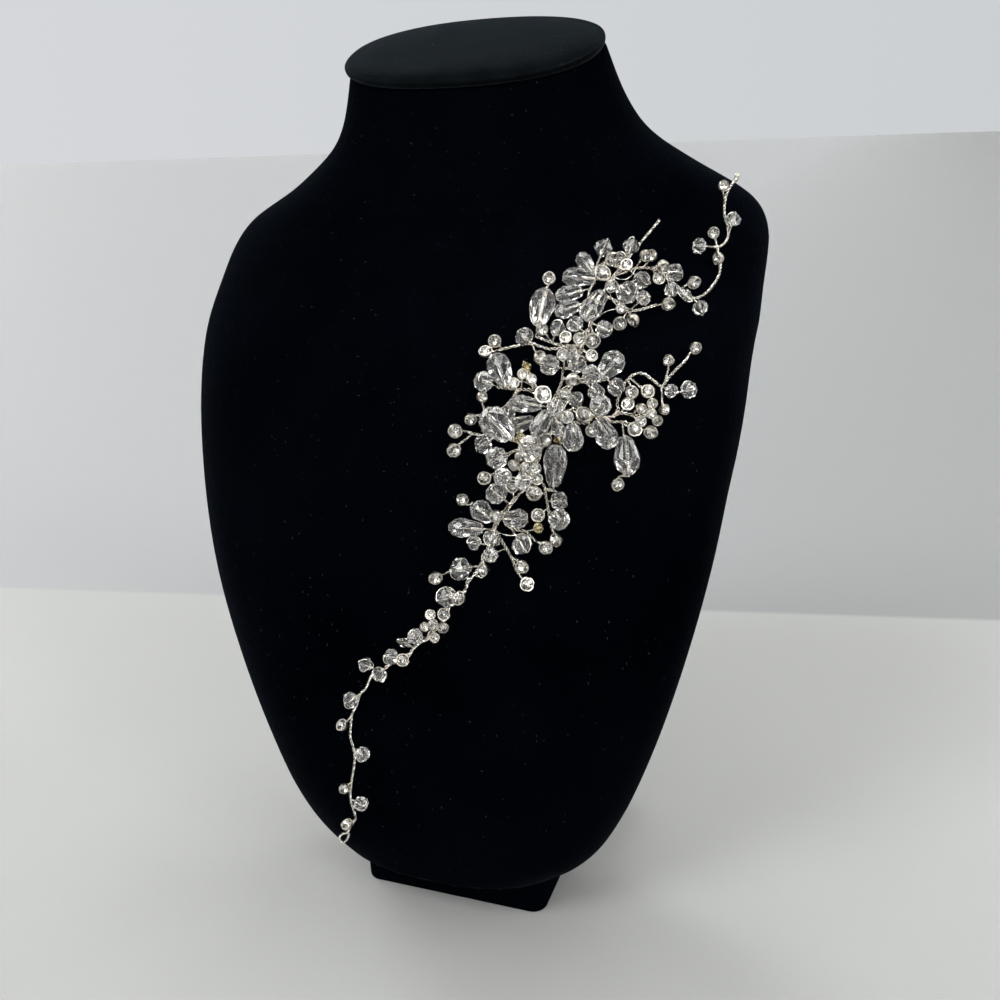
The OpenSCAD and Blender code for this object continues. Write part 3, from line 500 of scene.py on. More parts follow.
# Kind, middle of the stone, foot of its stem, width, length, and its turn about the stem in degrees. A
# cup is as long as it is wide, so it has no length. A cup or drop also has the stem's direction through
# it, and a drop 1 where the stem goes right through.
STONES = """
cup 79.54 18.46 223.86 79.74 21.64 219.08 3.06 -17.3 -0.164 0.066 0.984
bead 82.69 20.12 214.57 81.27 21.23 210.73 4.25 3.83 8.2
cup 78.15 14.99 211.47 79.15 14.66 207.12 3.24 -12.2 -0.243 0.197 0.95
cone 75.29 8.01 208.85 78.35 14.47 207.62 4.6 4.6 21.7
cup 80.62 10.17 205.15 80.64 10.1 200.94 3.6 -15.8 -0.032 0.178 0.984
cone 73.68 -2.6 197.32 70.36 0.76 199.33 2.99 6.44 -15.7
cone 78.38 -6.31 194.35 75.45 0.69 195.75 4.37 5.06 30.4
cup 74.94 1.21 200.26 71.56 0.47 198.24 3.78 13 0.807 0.35 0.475
bead 70.36 -0.94 202.94 65.97 1.35 202.53 5 4.5 -21.7
cup 67.53 -3.77 205.43 62.68 0.85 203.62 3.6 15.6 0.93 0.271 0.25
cup 66.18 -2.58 201.41 63.68 1.11 203.42 3.42 8.6 0.564 -0.065 -0.823
cup 63.73 1.37 206.86 61.19 0.5 203.92 3.42 0.7 0.658 0.099 0.747
cup 62.03 -2 207.85 59.19 -0.39 203.82 3.24 11.4 0.505 0.233 0.831
bead 70.13 -4.21 198.7 67.77 1.06 201.23 4 3.6 4.3
cup 69.7 -7.09 195.81 65.18 -6.77 194.55 3.78 9.5 0.923 0.322 0.208
cup 62.13 -13.92 192.49 59 -9.8 194.25 3.96 6.9 0.616 0.102 -0.781
drop 44.06 -13.83 198.93 48.52 -8.13 199.33 4.9 7.5 18.8 -0.877 -0.456 -0.15 0
drop 44.61 -17.73 195.57 48.83 -10.97 196.35 4.9 7 19.5 -0.863 -0.443 -0.242 0
drop 45.61 -10.16 202.71 49.32 -5.63 201.73 5.6 8.5 11.1 -0.932 -0.346 0.11 0
drop 46.63 -5.96 206.07 49.42 -5.31 202.03 4.55 6.5 -19 -0.641 0.233 0.731 0
bead 50.86 -2.59 209.67 48.72 -3.01 204.62 5.25 4.72 18.6
bead 57.96 0.22 209.82 56.2 -0.24 205.12 4.75 4.28 -3.8
bead 55.51 -2.78 206.76 51.71 -1.78 205.02 3.75 3.38 -14.4
bead 62.28 -6.16 201.55 57.7 -1.05 203.72 5 4.5 -16.8
bead 59.71 -11.51 199.07 53.51 -4.57 201.53 6.25 5.62 18.7
bead 64.7 -14.54 198.3 59.8 -9.8 193.95 4 3.6 -33
drop 51.77 -17.11 196.48 52.91 -6.09 200.13 6.3 9 11 -0.486 -0.453 -0.747 0
cup 53.86 -6.14 207.79 49.62 -2.57 204.82 3.78 -0.7 0.771 0.24 0.59
cup 51.99 -9.43 203.52 53.21 -5.43 200.73 4.68 11.3 -0.731 0.021 0.683
cup 56.18 -16.19 201.82 54.8 -2.54 203.22 3.6 -18.2 -0.492 -0.13 -0.861
cup 58.07 -4.96 205.17 54.01 -3.84 202.13 3.42 4.9 0.735 0.366 0.571
cup 58.73 -15.1 195.84 60.59 -9.47 193.95 2.88 -2.3 -0.909 -0.285 0.305
cup 58.5 -16.08 191.91 59.8 -9.69 194.05 3.78 15.9 -0.631 -0.165 -0.758
bead 55.43 -20.23 190.83 50.82 -15.46 191.56 4.75 4.28 -27
bead 43.36 -22.48 191.1 41.24 -22.18 187.27 4.5 4.05 0.3
bead 48.28 -23.15 192.63 50.22 -18.59 188.66 4.5 4.05 -3.2
drop 38.89 -22.15 196.73 36.56 -21.67 188.77 7 10.5 7.2 0.05 0.61 0.791 1
cup 39.33 -15.44 203.31 39.18 -18.64 201.28 3.6 -0.6 0.26 0.218 0.941
cup 40.34 -26.73 191.81 41.04 -22.13 187.37 3.24 -2.9 -0.542 0.022 0.84
bead 34.79 -26.08 189.49 36.65 -23.52 186.77 5 4.5 -5.9
cup 26.52 -26.7 188.21 28.28 -25.64 185.77 3.6 -18.3 -0.637 -0.169 0.752
cup 25.05 -29.65 185.41 27.58 -25.89 185.57 3.78 -12.2 -0.849 -0.506 -0.154
cup 39.26 -27.77 184.18 36.26 -23.42 186.97 3.78 -0.9 0.381 -0.017 -0.924
bead 43.51 -31.53 183.32 45.71 -25.62 180.87 5.5 4.95 -34.1
cup 48.23 -24.17 186.03 49.4 -23.58 182.76 3.24 -19.8 -0.399 0.014 0.917
bead 50.15 -28.56 183.47 45.81 -25.59 180.87 5.5 4.95 23.8
bead 55.19 -28.75 175.87 51.69 -25.61 177.47 4.5 4.05 10.9
bead 60.3 -26.72 176.93 56.98 -23.52 178.07 5 4.5 24.8
drop 58.74 -26.47 182.64 54.58 -24.57 177.67 6.65 8 -1.2 0.558 0.414 0.719 0
bead 54.95 -31.71 181.23 48.4 -26.35 177.97 5.25 4.72 27.6
cup 46.74 -26.43 189.45 43.23 -22.18 186.77 3.24 -18 0.706 0.414 0.574
cup 50.27 -27.39 189.83 50.62 -16.56 190.56 3.24 9.8 -0.672 -0.428 -0.605
cup 53.39 -23.86 188.37 50.82 -15.88 191.16 4.14 -9.5 0.146 -0.241 -0.96
cup 47.53 -31.61 186.1 45.61 -25.8 180.57 3.24 19.1 -0.073 0.35 0.934
cup 54.78 -31.73 186.01 49.61 -21.47 185.67 3.24 6.6 0.728 0.062 -0.682
cup 51.03 -35.55 181.1 45.6 -26.8 178.57 3.96 19.8 0.961 0.274 0.036
bead 50.32 -30.83 174.15 47.4 -28.18 174.48 4.25 3.83 -11.4
cup 48.37 -33.68 176.26 44.41 -28.73 174.98 3.42 11.6 0.98 0.181 -0.077
bead 32.91 -35.62 170.97 32.64 -31.67 173.38 4 3.6 -15
drop 38.26 -36.71 173.89 42.91 -30.44 171.59 4.9 8.5 18 -0.99 -0.093 0.103 0
drop 37.23 -37.27 168.61 42.61 -31.16 169.79 4.55 7 -6.6 -0.883 -0.361 -0.299 0
drop 42.97 -38.52 169.28 43.31 -30.04 172.38 5.25 7.5 0.1 -0.42 -0.32 -0.849 0
cup 42.48 -35.36 164.15 43.81 -32.33 165.4 3.96 8.8 -0.64 -0.47 -0.607
cup 43.08 -37.5 176.7 43.11 -30.05 172.48 4.68 -5.1 -0.694 -0.171 0.699
amber 37.84 -40.72 165.6 38.62 -34.41 162.01 3.3 3 -29.7
cup 36.14 -37.37 160 38.62 -34.79 160.61 3.24 -17.8 -0.847 -0.447 -0.289
cup 39.75 -38.31 159.44 41.21 -34.37 160.21 3.06 6 -0.73 -0.454 -0.511
bead 41.73 -44.49 164.66 41.31 -34.3 160.41 6.25 5.62 -61.6
cup 36.05 -40.64 158.39 36.13 -36.76 154.43 3.06 -10.9 -0.53 0.093 0.843
cup 39.21 -42.37 158.4 36.53 -36.92 153.43 3.24 -1.7 0.144 0.33 0.933
cup 42.51 -43.92 158.81 37.82 -36.83 152.83 3.06 -8.6 0.433 0.501 0.75
cup 40.99 -38.01 153.45 37.42 -37.17 151.64 3.24 9.2 0.813 0.519 0.265
amber 46.46 -34.54 164.08 44.11 -32.07 166 3 3 -11
drop 46.7 -36.35 168.05 43.11 -30.24 171.99 3.85 5.5 -16.2 0.349 -0.22 -0.911 0
bead 47.58 -40.1 174.45 44.71 -28.4 175.58 4.75 4.28 34.8
drop 46.42 -38.53 157.96 44.9 -35.94 150.04 6.65 11 -16.4 0.037 0.207 0.978 0
drop 30.18 -32.85 181.89 31.14 -30.71 176.18 6.65 9 -8.4 -0.416 0.258 0.872 0
bead 27.09 -37.7 179.71 28.45 -30.89 176.58 5.5 4.95 -33.9
amber 36.4 -29.59 182.11 39.42 -29.44 175.88 3 3 -14.5
cup 36.03 -32.46 180.78 34.83 -30.23 175.98 2.88 4.5 -0.022 0.351 0.936
cup 34.98 -35.77 179.14 30.44 -30.72 176.38 2.7 -4.4 0.766 0.529 0.365
cup 38.9 -34.2 179.79 38.62 -29.59 175.88 2.88 -2.9 -0.453 0.055 0.89
drop 32.16 -42.34 169.54 33.43 -34.95 163.31 8.4 10 2 -0.738 0.064 0.672 0
cup 24.62 -34.17 174.45 25.46 -33.83 170.09 3.06 -4.2 -0.269 0.113 0.957
cup 22.31 -36.5 169.25 25.06 -33.98 169.79 3.42 -3.6 -0.895 -0.369 -0.251
cup 18.38 -38.14 166.07 21.27 -35.88 165.01 3.96 17 -0.93 -0.311 0.195
cup 17.97 -39.55 161.02 22.56 -35.89 164.61 3.96 9.6 -0.704 -0.448 -0.55
bead 26.85 -39.61 162.99 28.85 -35.45 163.81 5.25 4.72 -11
bead 31.94 -43.32 160.66 33.53 -35.8 160.12 6 5.4 -34.4
cup 34.63 -39.83 151.55 34.43 -38.63 147.05 3.6 14.5 -0.21 0.401 0.892
bead 31.89 -44.76 151.28 33.64 -38.99 145.85 6 5.4 -16.7
bead 34.91 -47.48 156.98 36.63 -36.95 153.23 5 4.5 1.6
cup 27.04 -40.54 153.37 30.14 -37.49 155.23 3.78 -12.1 -0.698 -0.573 -0.43
bead 40.43 -47.3 155.98 36.33 -37.77 149.74 4.75 4.28 2.3
cup 54.51 -31.32 166.08 53.18 -28.99 167.69 3.6 -18.5 0.303 -0.076 -0.95
cup 52.59 -32.5 170.12 48.59 -29.22 170.99 4.5 3.8 0.851 0.028 -0.525
drop 58.97 -34.11 166.25 54.78 -27.98 169.09 6.3 8.4 -15.7 0.522 -0.163 -0.837 0
bead 57.81 -33.79 173.7 52.39 -28.24 170.59 5.75 5.17 -33
drop 51.4 -38.08 165.83 48.99 -30.23 167.79 5.95 7 14.4 0.079 -0.223 -0.972 0
bead 51.33 -42.44 172.61 45.5 -30.82 168.79 3.5 3.15 26.4
cup 64.9 -27.03 175.87 62.16 -21.48 177.87 3.6 -9.8 0.438 -0.246 -0.865
cup 67.53 -22.84 174.75 62.56 -21.16 178.17 3.78 9 0.766 -0.008 -0.642
cup 63.33 -25.86 171.93 60.27 -25.85 169.19 3.6 16.5 0.691 0.417 0.591
cup 66.72 -27.44 171.88 63.76 -24.4 168.89 2.88 15.1 0.666 0.441 0.602
cup 69.9 -27.15 173.1 66.55 -23.17 168.4 2.88 12.3 0.531 0.319 0.785
cup 70.3 -30.25 171.6 66.06 -23.4 168.5 2.88 -13.5 0.919 0.184 0.348
cup 68.26 -32.44 169.78 63.16 -24.64 168.99 3.06 -5.9 0.903 0.033 -0.429
cup 70.51 -23.33 167.3 67.55 -22.66 168.3 2.88 -13.4 0.903 0.091 -0.42
cup 72.1 -24.16 170.66 70.55 -18.19 175.38 2.88 -14.3 0.097 -0.226 -0.969
drop 64.11 -31.65 159.81 61.66 -25.96 167.1 7.35 10 -17.1 0.196 -0.314 -0.929 1
cup 61.95 -34.3 152.63 65.19 -33.37 154.71 3.6 -2.7 -0.275 -0.322 -0.906
cup 69.42 -26.3 165.34 66.26 -24.39 165.1 3.78 0.9 0.956 0.222 -0.193
cup 65.28 -28.33 165.93 61.37 -26.06 167.2 3.96 -7.8 0.816 0.177 -0.551
bead 73.71 -21.05 175 70.55 -18.19 175.38 3.75 3.38 27.6
bead 77.74 -18.03 174.7 75.33 -22.51 174.81 4.75 4.28 16.4
cup 72.35 -16.35 181.94 71.15 -17.46 176.18 3.24 -7.8 0.161 0.377 0.912
cup 77.76 -11.05 184.69 75.14 -12.58 180.58 3.42 7.9 0.525 0.223 0.821
drop 27.18 -43.67 145.1 29.85 -40.46 140.47 5.95 6.5 11.2 -0.737 -0.071 0.673 1
cup 21.27 -43.7 147.75 24.42 -43.94 147.62 3.42 -1.6 -0.846 -0.199 0.494
drop 22.5 -44.71 140.41 29.25 -40.76 139.07 5.6 9.5 5.8 -0.994 -0.106 0.002 0
bead 24.56 -44.62 136.05 27.56 -41.58 134.78 4 3.6 19.6
cup 40.92 -40.51 150.06 43.01 -36.59 149.04 4.32 -13 -0.918 -0.396 0.006
bead 47.48 -39.21 148.44 43.31 -36.89 147.25 5 4.5 25.4
bead 48.96 -44.15 145.07 43.71 -37.18 145.25 5.75 5.17 35
cup 41.87 -40.04 143.94 43.71 -37.18 145.25 3.78 -13.8 -0.69 -0.46 -0.558
drop 36.3 -42.61 143.58 30.94 -40.05 142.06 5.6 6.5 2.3 0.941 0.337 -0.026 0
amber 42.95 -43.76 142 37.73 -39.49 138.87 3 3 25.3
cup 47.02 -39.9 137.51 44.91 -37.83 139.87 3.78 9.5 0.519 -0.318 -0.793
cup 45.02 -43.78 136.9 40.42 -39.32 136.58 3.78 -7.1 0.834 0.156 -0.53
bead 38.08 -43.69 136.61 33.64 -39.99 140.07 5.75 5.17 19.3
cup 37.84 -42.86 130.21 33.64 -41.12 132.09 3.78 -2.8 0.766 0.085 -0.638
cup 38.85 -43.34 124.8 35.43 -41.35 127.8 3.96 18.1 0.628 -0.16 -0.761
bead 30.2 -45.15 138.2 30.15 -40.36 140.87 5 4.5 -4.4
bead 31.36 -49.98 135.58 32.64 -41.04 133.89 4.25 3.83 31.5
cup 27.4 -44.39 128.58 26.06 -42.24 130.9 3.42 -8 0.258 -0.269 -0.928
cup 31.6 -45.33 145.42 32.84 -39.33 144.66 3.6 -10 -0.879 -0.336 -0.339
bead 21.28 -47.15 129.28 25.16 -42.6 128.6 6.5 5.85 -4.3
cup 13.69 -47.8 126.41 19.07 -49.74 129.66 3.96 -12.6 -0.868 -0.447 -0.217
bead 16.87 -48.09 120.44 20.48 -43.83 120.83 6 5.4 7.7
cup 21.74 -50.02 121.45 21.18 -43.59 122.72 4.14 -0.4 -0.284 -0.549 -0.786
cup 14.99 -46.84 114.6 15.89 -44.57 115.94 3.6 5.9 -0.485 -0.551 -0.679
cup 11.9 -47.48 107.15 7.92 -45.73 105.08 2.88 -13.6 0.844 0.531 0.073
cup 14.52 -46.99 110.74 11.21 -45.42 108.27 3.24 16.4 0.807 0.45 0.383
cup 8.9 -47.1 109.57 11.31 -45.41 108.37 2.88 -16.8 -0.91 -0.319 0.263
cup 10.62 -46.8 113.67 12.51 -45.26 109.76 3.06 -7.9 -0.665 0.033 0.746
cup 13.49 -50.57 113.16 8.22 -45.72 105.18 2.88 -20 0.377 0.464 0.802
bead 7.97 -51.69 109.05 8.62 -45.68 105.58 4.5 4.05 -27.7
cone 2.67 -48.13 104.57 4.34 -45.96 101.99 2.99 4.6 -11.7
bead -1.35 -49.35 100.12 1.25 -46.14 98.51 4.75 4.28 21.8
cup 2.93 -50.64 100.29 3.74 -46 101.3 3.78 -4.6 -0.504 -0.614 -0.608
cone -10.04 -49.42 96.27 -7.62 -46.27 92.83 4.83 4.6 -23.1
bead -5.01 -50.73 94.39 -4.53 -46.25 95.12 4.75 4.28 -11.6
bead -16 -49.57 83.63 -14.59 -46.22 83.97 5 4.5 -32.2
cup -20.33 -48.23 73.19 -18.17 -46.11 76.1 3.78 8.9 -0.487 -0.568 -0.663
bead -13.8 -49.86 65.37 -18.86 -46.19 64.54 4.75 4.28 -25.3
cup -22.74 -47.84 50.48 -21.13 -45.81 51.02 3.6 -3.7 -0.729 -0.584 -0.356
bead -16.27 -49.57 46.84 -22.21 -45.44 44.66 4.75 4.28 -15.8
cup -23.18 -47.33 35.59 -22.17 -44.82 36.24 3.96 9.8 -0.48 -0.79 -0.381
"""
FACING = Vector((129, -297, 248))  # the stones face this point, in front of the bust
Stone = namedtuple("Stone", "kind middle foot wide long stem facing through")


def set_stone(row):
    """A stone from its row, with the way that it faces worked out from its turn."""
    kind, *numbers = row.split()
    numbers = [float(n) for n in numbers]
    if kind == "cup":
        numbers.insert(7, numbers[6])
    middle, foot = Vector(numbers[0:3]), Vector(numbers[3:6])
    wide, long, turn = numbers[6:9]
    stem = Vector(numbers[9:12]).normalized() if kind in ("cup", "drop") else (middle - foot).normalized()
    to_face = (FACING - middle).normalized()
    level = (to_face - to_face.dot(stem) * stem).normalized()
    facing = (Matrix.Rotation(math.radians(turn), 3, stem) @ level).normalized()
    through = kind != "drop" or numbers[12] == 1
    return Stone(kind, middle, foot, wide, long, stem, facing, through)


stones = [set_stone(row) for row in STONES.strip().split("\n")]


def room_of(stone):
    """Balls that fill a stone, each a middle and a radius."""
    if stone.kind == "drop":
        half, narrow = stone.wide / 2, 0.3 * stone.wide
        return [(stone.middle + stone.stem * (stone.long / 2 - half), half),
                (stone.middle - stone.stem * (stone.long / 2 - narrow), narrow)]
    return [(stone.middle, stone.wide / 2)]


def stem_line(stone):
    """From the foot to the stone, with a soft bend where the stem turns into its hole."""
    middle, t, half, foot = stone.middle, stone.stem, stone.long / 2, stone.foot
    tail = -TAIL if stone.kind == "cup" else TAIL
    far = middle + t * (half + tail) if stone.through else middle - t * (0.15 * stone.long + 0.1)
    bend = middle - t * (half + BEFORE)
    ease = min(1.2, 0.6 * (bend - foot).length)
    start = bend + (foot - bend).normalized() * ease
    steps = max(2, round((start - foot).length / STEP))
    line = [foot.lerp(start, k / steps) for k in range(steps)]
    corner = bend + t * STEP
    line += [start.lerp(bend, s).lerp(bend.lerp(corner, s), s) for s in (0, 0.25, 0.5, 0.75)]
    steps = max(2, round((far - corner).length / 0.5))
    return line + [corner.lerp(far, k / steps) for k in range(steps + 1)]


PAST_HOLE = 0.35  # how far beyond the stone's ends the strand turns back
ROUND = (-160, -140, -20, 5, 175, -40, 190, 20)  # degrees round a stone: beside it or a little behind


def return_strand(stone, others):
    """The strand that comes back round the outside of a stone, on a side where nothing is in its way."""
    half, side = stone.long / 2 + PAST_HOLE, stone.stem.cross(stone.facing)
    for angle in random.sample(ROUND, len(ROUND)):
        out = math.cos(math.radians(angle)) * side + math.sin(math.radians(angle)) * stone.facing
        line = []
        for k in range(15):
            a = math.pi * k / 14
            reach = (stone.wide / 2) * (0.97 if stone.kind == "bead" else 0.9 + 0.1 * math.cos(a)) + THIN
            line.append(stone.middle + stone.stem * half * math.cos(a) + out * reach * math.sin(a) ** 0.9)
        if all((p - c).length > r + LOOSE for p in line for c, r in others):
            return line
    return None


stems, returns = [], []
for stone in stones:
    line = stem_line(stone)
    stems += [wound(line, APART * THIN, STEM_PITCH, turn) for turn in (0, math.pi)]
    if stone.kind in ("bead", "cone") or stone.kind == "drop" and stone.through:
        others = [ball for other in stones if other is not stone for ball in room_of(other)
                  if (ball[0] - stone.middle).length < 16]
        line = return_strand(stone, others)
        if line:
            returns.append(line)


def loose_strand(first, second, height):
    """A low arc of a single strand from one foot to another, or None where a stone is in its way."""
    a, b = first.foot, second.foot
    up = (FACING - a).normalized()
    bow = (b - a).cross(up).normalized() * random.uniform(-0.3, 0.3) * (b - a).length
    line = [a.lerp(b, k / 16) + (up * height + bow) * math.sin(math.pi * k / 16) ** 0.8 for k in range(17)]
    if all((p - c).length > r + 0.2 for p in line[2:-2] for stone in stones for c, r in room_of(stone)):
        return line
    return None


# From foot to foot in the two clusters, where these are 3 to 11 mm apart
crossing = []
for _ in range(TRIES):
    first, second = random.sample(stones, 2)
    in_cluster = all(-14 < s.foot.x < 64 and s.foot.z > 90 for s in (first, second))
    if in_cluster and 3 < (first.foot - second.foot).length < 11 and len(crossing) < CROSSINGS:
        line = loose_strand(first, second, random.uniform(1, 5))
        if line:
            crossing.append(along(line, STEP))
stone_stems = joined("stone_stems", [
    drawn_wire("loose_strands", crossing, LOOSE),
    drawn_wire("stem_pairs", stems, THIN), drawn_wire("stem_returns", returns, THIN)])
dress(stone_stems, silver("silver_stem_metal", SILVER, *SHEEN), "silver_wire", "twisted_wires")


# ==== The round crystals ====
# Clear glass, cut all round with flat facets, each drilled through for its wire. They turn freely
# on it, so that hardly two face the same way.
def cut_stone(name, sides, rows, edge, glass, ground):
    """Glass cut to rows of corners, each row as (height, radius, turn in steps of half a side).

    The stone is about 1 across and 1 high until it is set down. The edges between its facets are
    a little ground, and catch the light.
    """
    let_go()
    for i, (height, radius, half_steps) in enumerate(rows):
        bpy.ops.mesh.primitive_circle_add(
            vertices=sides, radius=radius, location=(0, 0, height),
            rotation=(0, 0, half_steps * math.pi / sides))
        if i == 0:
            bpy.ops.object.transform_apply()
            bpy.ops.object.mode_set(mode="EDIT")
    bpy.ops.mesh.select_all(action="SELECT")
    bpy.ops.mesh.convex_hull(face_threshold=math.radians(2), shape_threshold=math.radians(60))
    bpy.ops.mesh.select_all(action="SELECT")
    bpy.ops.mesh.dissolve_limited(angle_limit=math.radians(1))
    bpy.ops.object.mode_set(mode="OBJECT")
    stone = bpy.context.object
    stone.name = name
    stone.data.materials.append(glass)
    stone.data.materials.append(ground)
    finish_with(stone, "BEVEL", width=edge, segments=1, limit_method="ANGLE", angle_limit=math.radians(8),
                material=1)
    return stone


def drill(stone, radius):
    """A round hole through a stone along its length."""
    let_go()
    bpy.ops.mesh.primitive_cylinder_add(vertices=12, radius=radius, depth=1.2, location=(0, 0, 0))
    bit = bpy.context.object
    finish_with(stone, "BOOLEAN", operation="DIFFERENCE", solver="EXACT", object=bit)
    bpy.data.objects.remove(bit)


def copies(name, model, places):
    """One mesh of the model set down at each of these places."""
    made = []
    for place in places:
        one = bpy.data.objects.new(name, model.data.copy())
        one.data.transform(place)
        bpy.context.scene.collection.objects.link(one)
        made.append(one)
    return joined(name, made)


def setting(stone, z_dir, x_dir, size):
    """Where a stone's own axes go, in metres, and how large it is along each."""
    y_dir = z_dir.cross(x_dir)
    turn = Matrix((x_dir, y_dir, z_dir)).transposed().to_4x4()
    return Matrix.Translation(stone.middle * MM) @ turn @ Matrix.Diagonal((*(s * MM for s in size), 1))


def strung(kind, flat=1):
    """The settings of all stones of a kind, each along its stem."""
    return [setting(s, s.stem, s.facing, (flat * s.wide, s.wide, s.long)) for s in stones if s.kind == kind]


def crystal(name, colour, rough, clear):
    """Cut glass, with faint smears on its polish, and a little milkiness that clear leaves."""
    material, tree, shader = new_material(name, Transmission_Weight=clear, IOR=1.58)
    tint = tuple(c * 0.93 for c in colour)
    feed_all(shader, Base_Color=mix_of(tree, uneven(tree, 120, 0, 1), colour, tint),
             Roughness=uneven(tree, 500, 0, rough), Normal=bumps(tree, 900, 0.03, 0.05 * MM))
    return material


CLEAR = (0.995, 0.985, 0.96)  # glass with a trace of warmth
POLISH = 0.03  # the roughest that a facet is
CLARITY = 0.985
EDGE = 0.007  # width of a ground edge, as a share of the stone
HOLE = 0.08  # radius of the hole
GROUND_EDGE = crystal("ground_facet_edge", (1, 1, 1), 0.3, 0.75)
bead_model = cut_stone("bead_model", 8, [
    (-0.46, 0.19, 0), (-0.17, 0.49, 1), (0.17, 0.49, 0), (0.46, 0.19, 1)],
    EDGE, crystal("clear_round_crystal", CLEAR, POLISH, CLARITY), GROUND_EDGE)
drill(bead_model, HOLE)
beads = copies("round_crystals_cut", bead_model, strung("bead"))
dress(beads, None, "clear_crystal", "round_crystals")
bpy.data.objects.remove(bead_model)


# ==== The bicones ====
# Glass beads of two low cones with eight facets each, base to base, drilled through for their wire.
# Four small ones are of amber glass.
AMBER = (0.95, 0.84, 0.5)
for kind, name, node, slot, glass, ground in (
        ("cone", "bicones_cut", "bicones", "clear_crystal",
         crystal("clear_bicone", CLEAR, POLISH, CLARITY), GROUND_EDGE),
        ("amber", "amber_bicones_cut", "amber_bicones", "amber_crystal",
         crystal("amber_bicone", AMBER, 0.05, 0.96),
         crystal("ground_amber_edge", (0.95, 0.8, 0.5), 0.3, 0.75))):
    cone_model = cut_stone("cone_model", 8, [
        (-0.5, 0.11, 0), (-0.03, 0.5, 0), (0.03, 0.5, 0), (0.5, 0.11, 0)], EDGE, glass, ground)
    drill(cone_model, HOLE)
    dress(copies(name, cone_model, strung(kind)), None, slot, node)
    bpy.data.objects.remove(cone_model)


# ==== The drops ====
# Pear-shaped glass with long facets from the hole and short ones round the wide end. The large ones
# hang alone, and the smaller ones are the petals of the three flowers.
FLAT = 0.86  # a drop is flatter from front to back than across
FINE_EDGE = 0.006
FINE_HOLE = 0.055
drop_model = cut_stone("drop_model", 9, [
    (-0.5, 0.2, 0), (-0.38, 0.33, 1), (0.04, 0.48, 0), (0.16, 0.5, 1), (0.36, 0.4, 0), (0.5, 0.2, 1)],
    FINE_EDGE, crystal("clear_drop", CLEAR, POLISH, CLARITY), GROUND_EDGE)
drill(drop_model, FINE_HOLE)
for number, place in enumerate(strung("drop", FLAT), 1):
    drop = copies(f"drop_{number:02d}_cut", drop_model, [place])
    dress(drop, None, "clear_crystal", f"drop_{number:02d}")
bpy.data.objects.remove(drop_model)


# ==== The foiled stones ====
# Glass with a table and a ring of facets over a silvered pavilion, which throws the light back, so
# that they are the brightest things on the vine. Each is clamped in its cup.
def foiled(name):
    """The silvering on the back of a stone."""
    material, tree, shader = new_material(name, Metallic=1)
    bright = mix_of(tree, uneven(tree, 700, -0.8, 1), (0.98, 0.97, 0.94), (0.25, 0.25, 0.25))
    feed_all(shader, Base_Color=bright, Roughness=uneven(tree, 1200, 0.02, 0.12))
    return material


def in_a_cup(stone):
    """How a cup and its stone sit on the wire. Some have turned a long way round it, and all a little."""
    place = stone.middle
    turned = next((angle for x, z, angle in TURNED if math.hypot(x - place.x, z - place.z) < 1.6),
                  38 * math.sin(place.x * 7 + place.z * 3))
    facing = Matrix.Rotation(math.radians(turned), 3, stone.stem) @ stone.facing
    return setting(stone, facing, stone.stem, (stone.wide, stone.wide, 1))


TURNED = [  # place across and up, and how far the cup has turned round its wire, in degrees, where it shows
    (19.6, 146.2, 35), (11.6, 124.2, -35), (-22.2, 71, 40), (-24.8, 47.8, 50), (-25.9, 31.8, -35),
    (43.2, 134.5, 40), (46.2, 136.4, 35), (37.9, 123.5, 25), (23.7, 173.8, 40), (36.7, 202, 30),
    (23.7, 184.6, 55), (61.3, 191.8, 55), (26.4, 127.4, 55), (77.2, 184, 25), (71.8, 181.3, -45),
    (79, 223.6, 45), (60.8, 151, 35), (16.8, 160.1, -35), (62.7, 171.2, -40), (68.6, 164.2, 35),
    (44.9, 184.1, 45), (36.8, 156, -35), (9.5, 112.4, 50), (15, 114.6, -10), (2.9, 100.3, 6)
]
in_cups = [in_a_cup(s) for s in stones if s.kind == "cup"]
gem_model = cut_stone("gem_model", 8, [
    (0.35, 0.05, 0), (1.0, 0.43, 1), (1.06, 0.43, 1), (1.4, 0.34, 0), (1.64, 0.2, 1)],
    FINE_EDGE, crystal("clear_stone_crown", CLEAR, POLISH, 1), GROUND_EDGE)
gem_model.data.materials.append(foiled("silvered_back"))
for face in gem_model.data.polygons:
    if face.normal.z < -0.2:
        face.material_index = 2  # the silvering, on every face that looks back
gems = copies("foiled_stones_cut", gem_model, in_cups)
dress(gems, None, "foiled_rhinestone", "rhinestones")
bpy.data.objects.remove(gem_model)


# ==== The cups ====
# Pressed silver-coloured metal that widens from its back, where the wire passes through, to a rim
# with four claws turned in over the stone.
let_go()
WALL = [(0, 0.33), (0.3, 0.4), (0.4, 0.46), (0.45, 0.49), (0.45, 0.5)]  # rise and radius of each ring
RIM = 0.035
WELL = 0.8  # depth of the hollow that the stone sits in
CLAW = 0.15  # how far the claws stand up
bpy.ops.mesh.primitive_cylinder_add(vertices=24, radius=WALL[0][1], depth=0.1, location=(0, 0, -0.55))
cup_model = bpy.context.object
bpy.ops.object.transform_apply()


def lift(height):
    """Draws the selected faces out by a height."""
    bpy.ops.mesh.extrude_region_move(TRANSFORM_OT_translate={"value": (0, 0, height)})


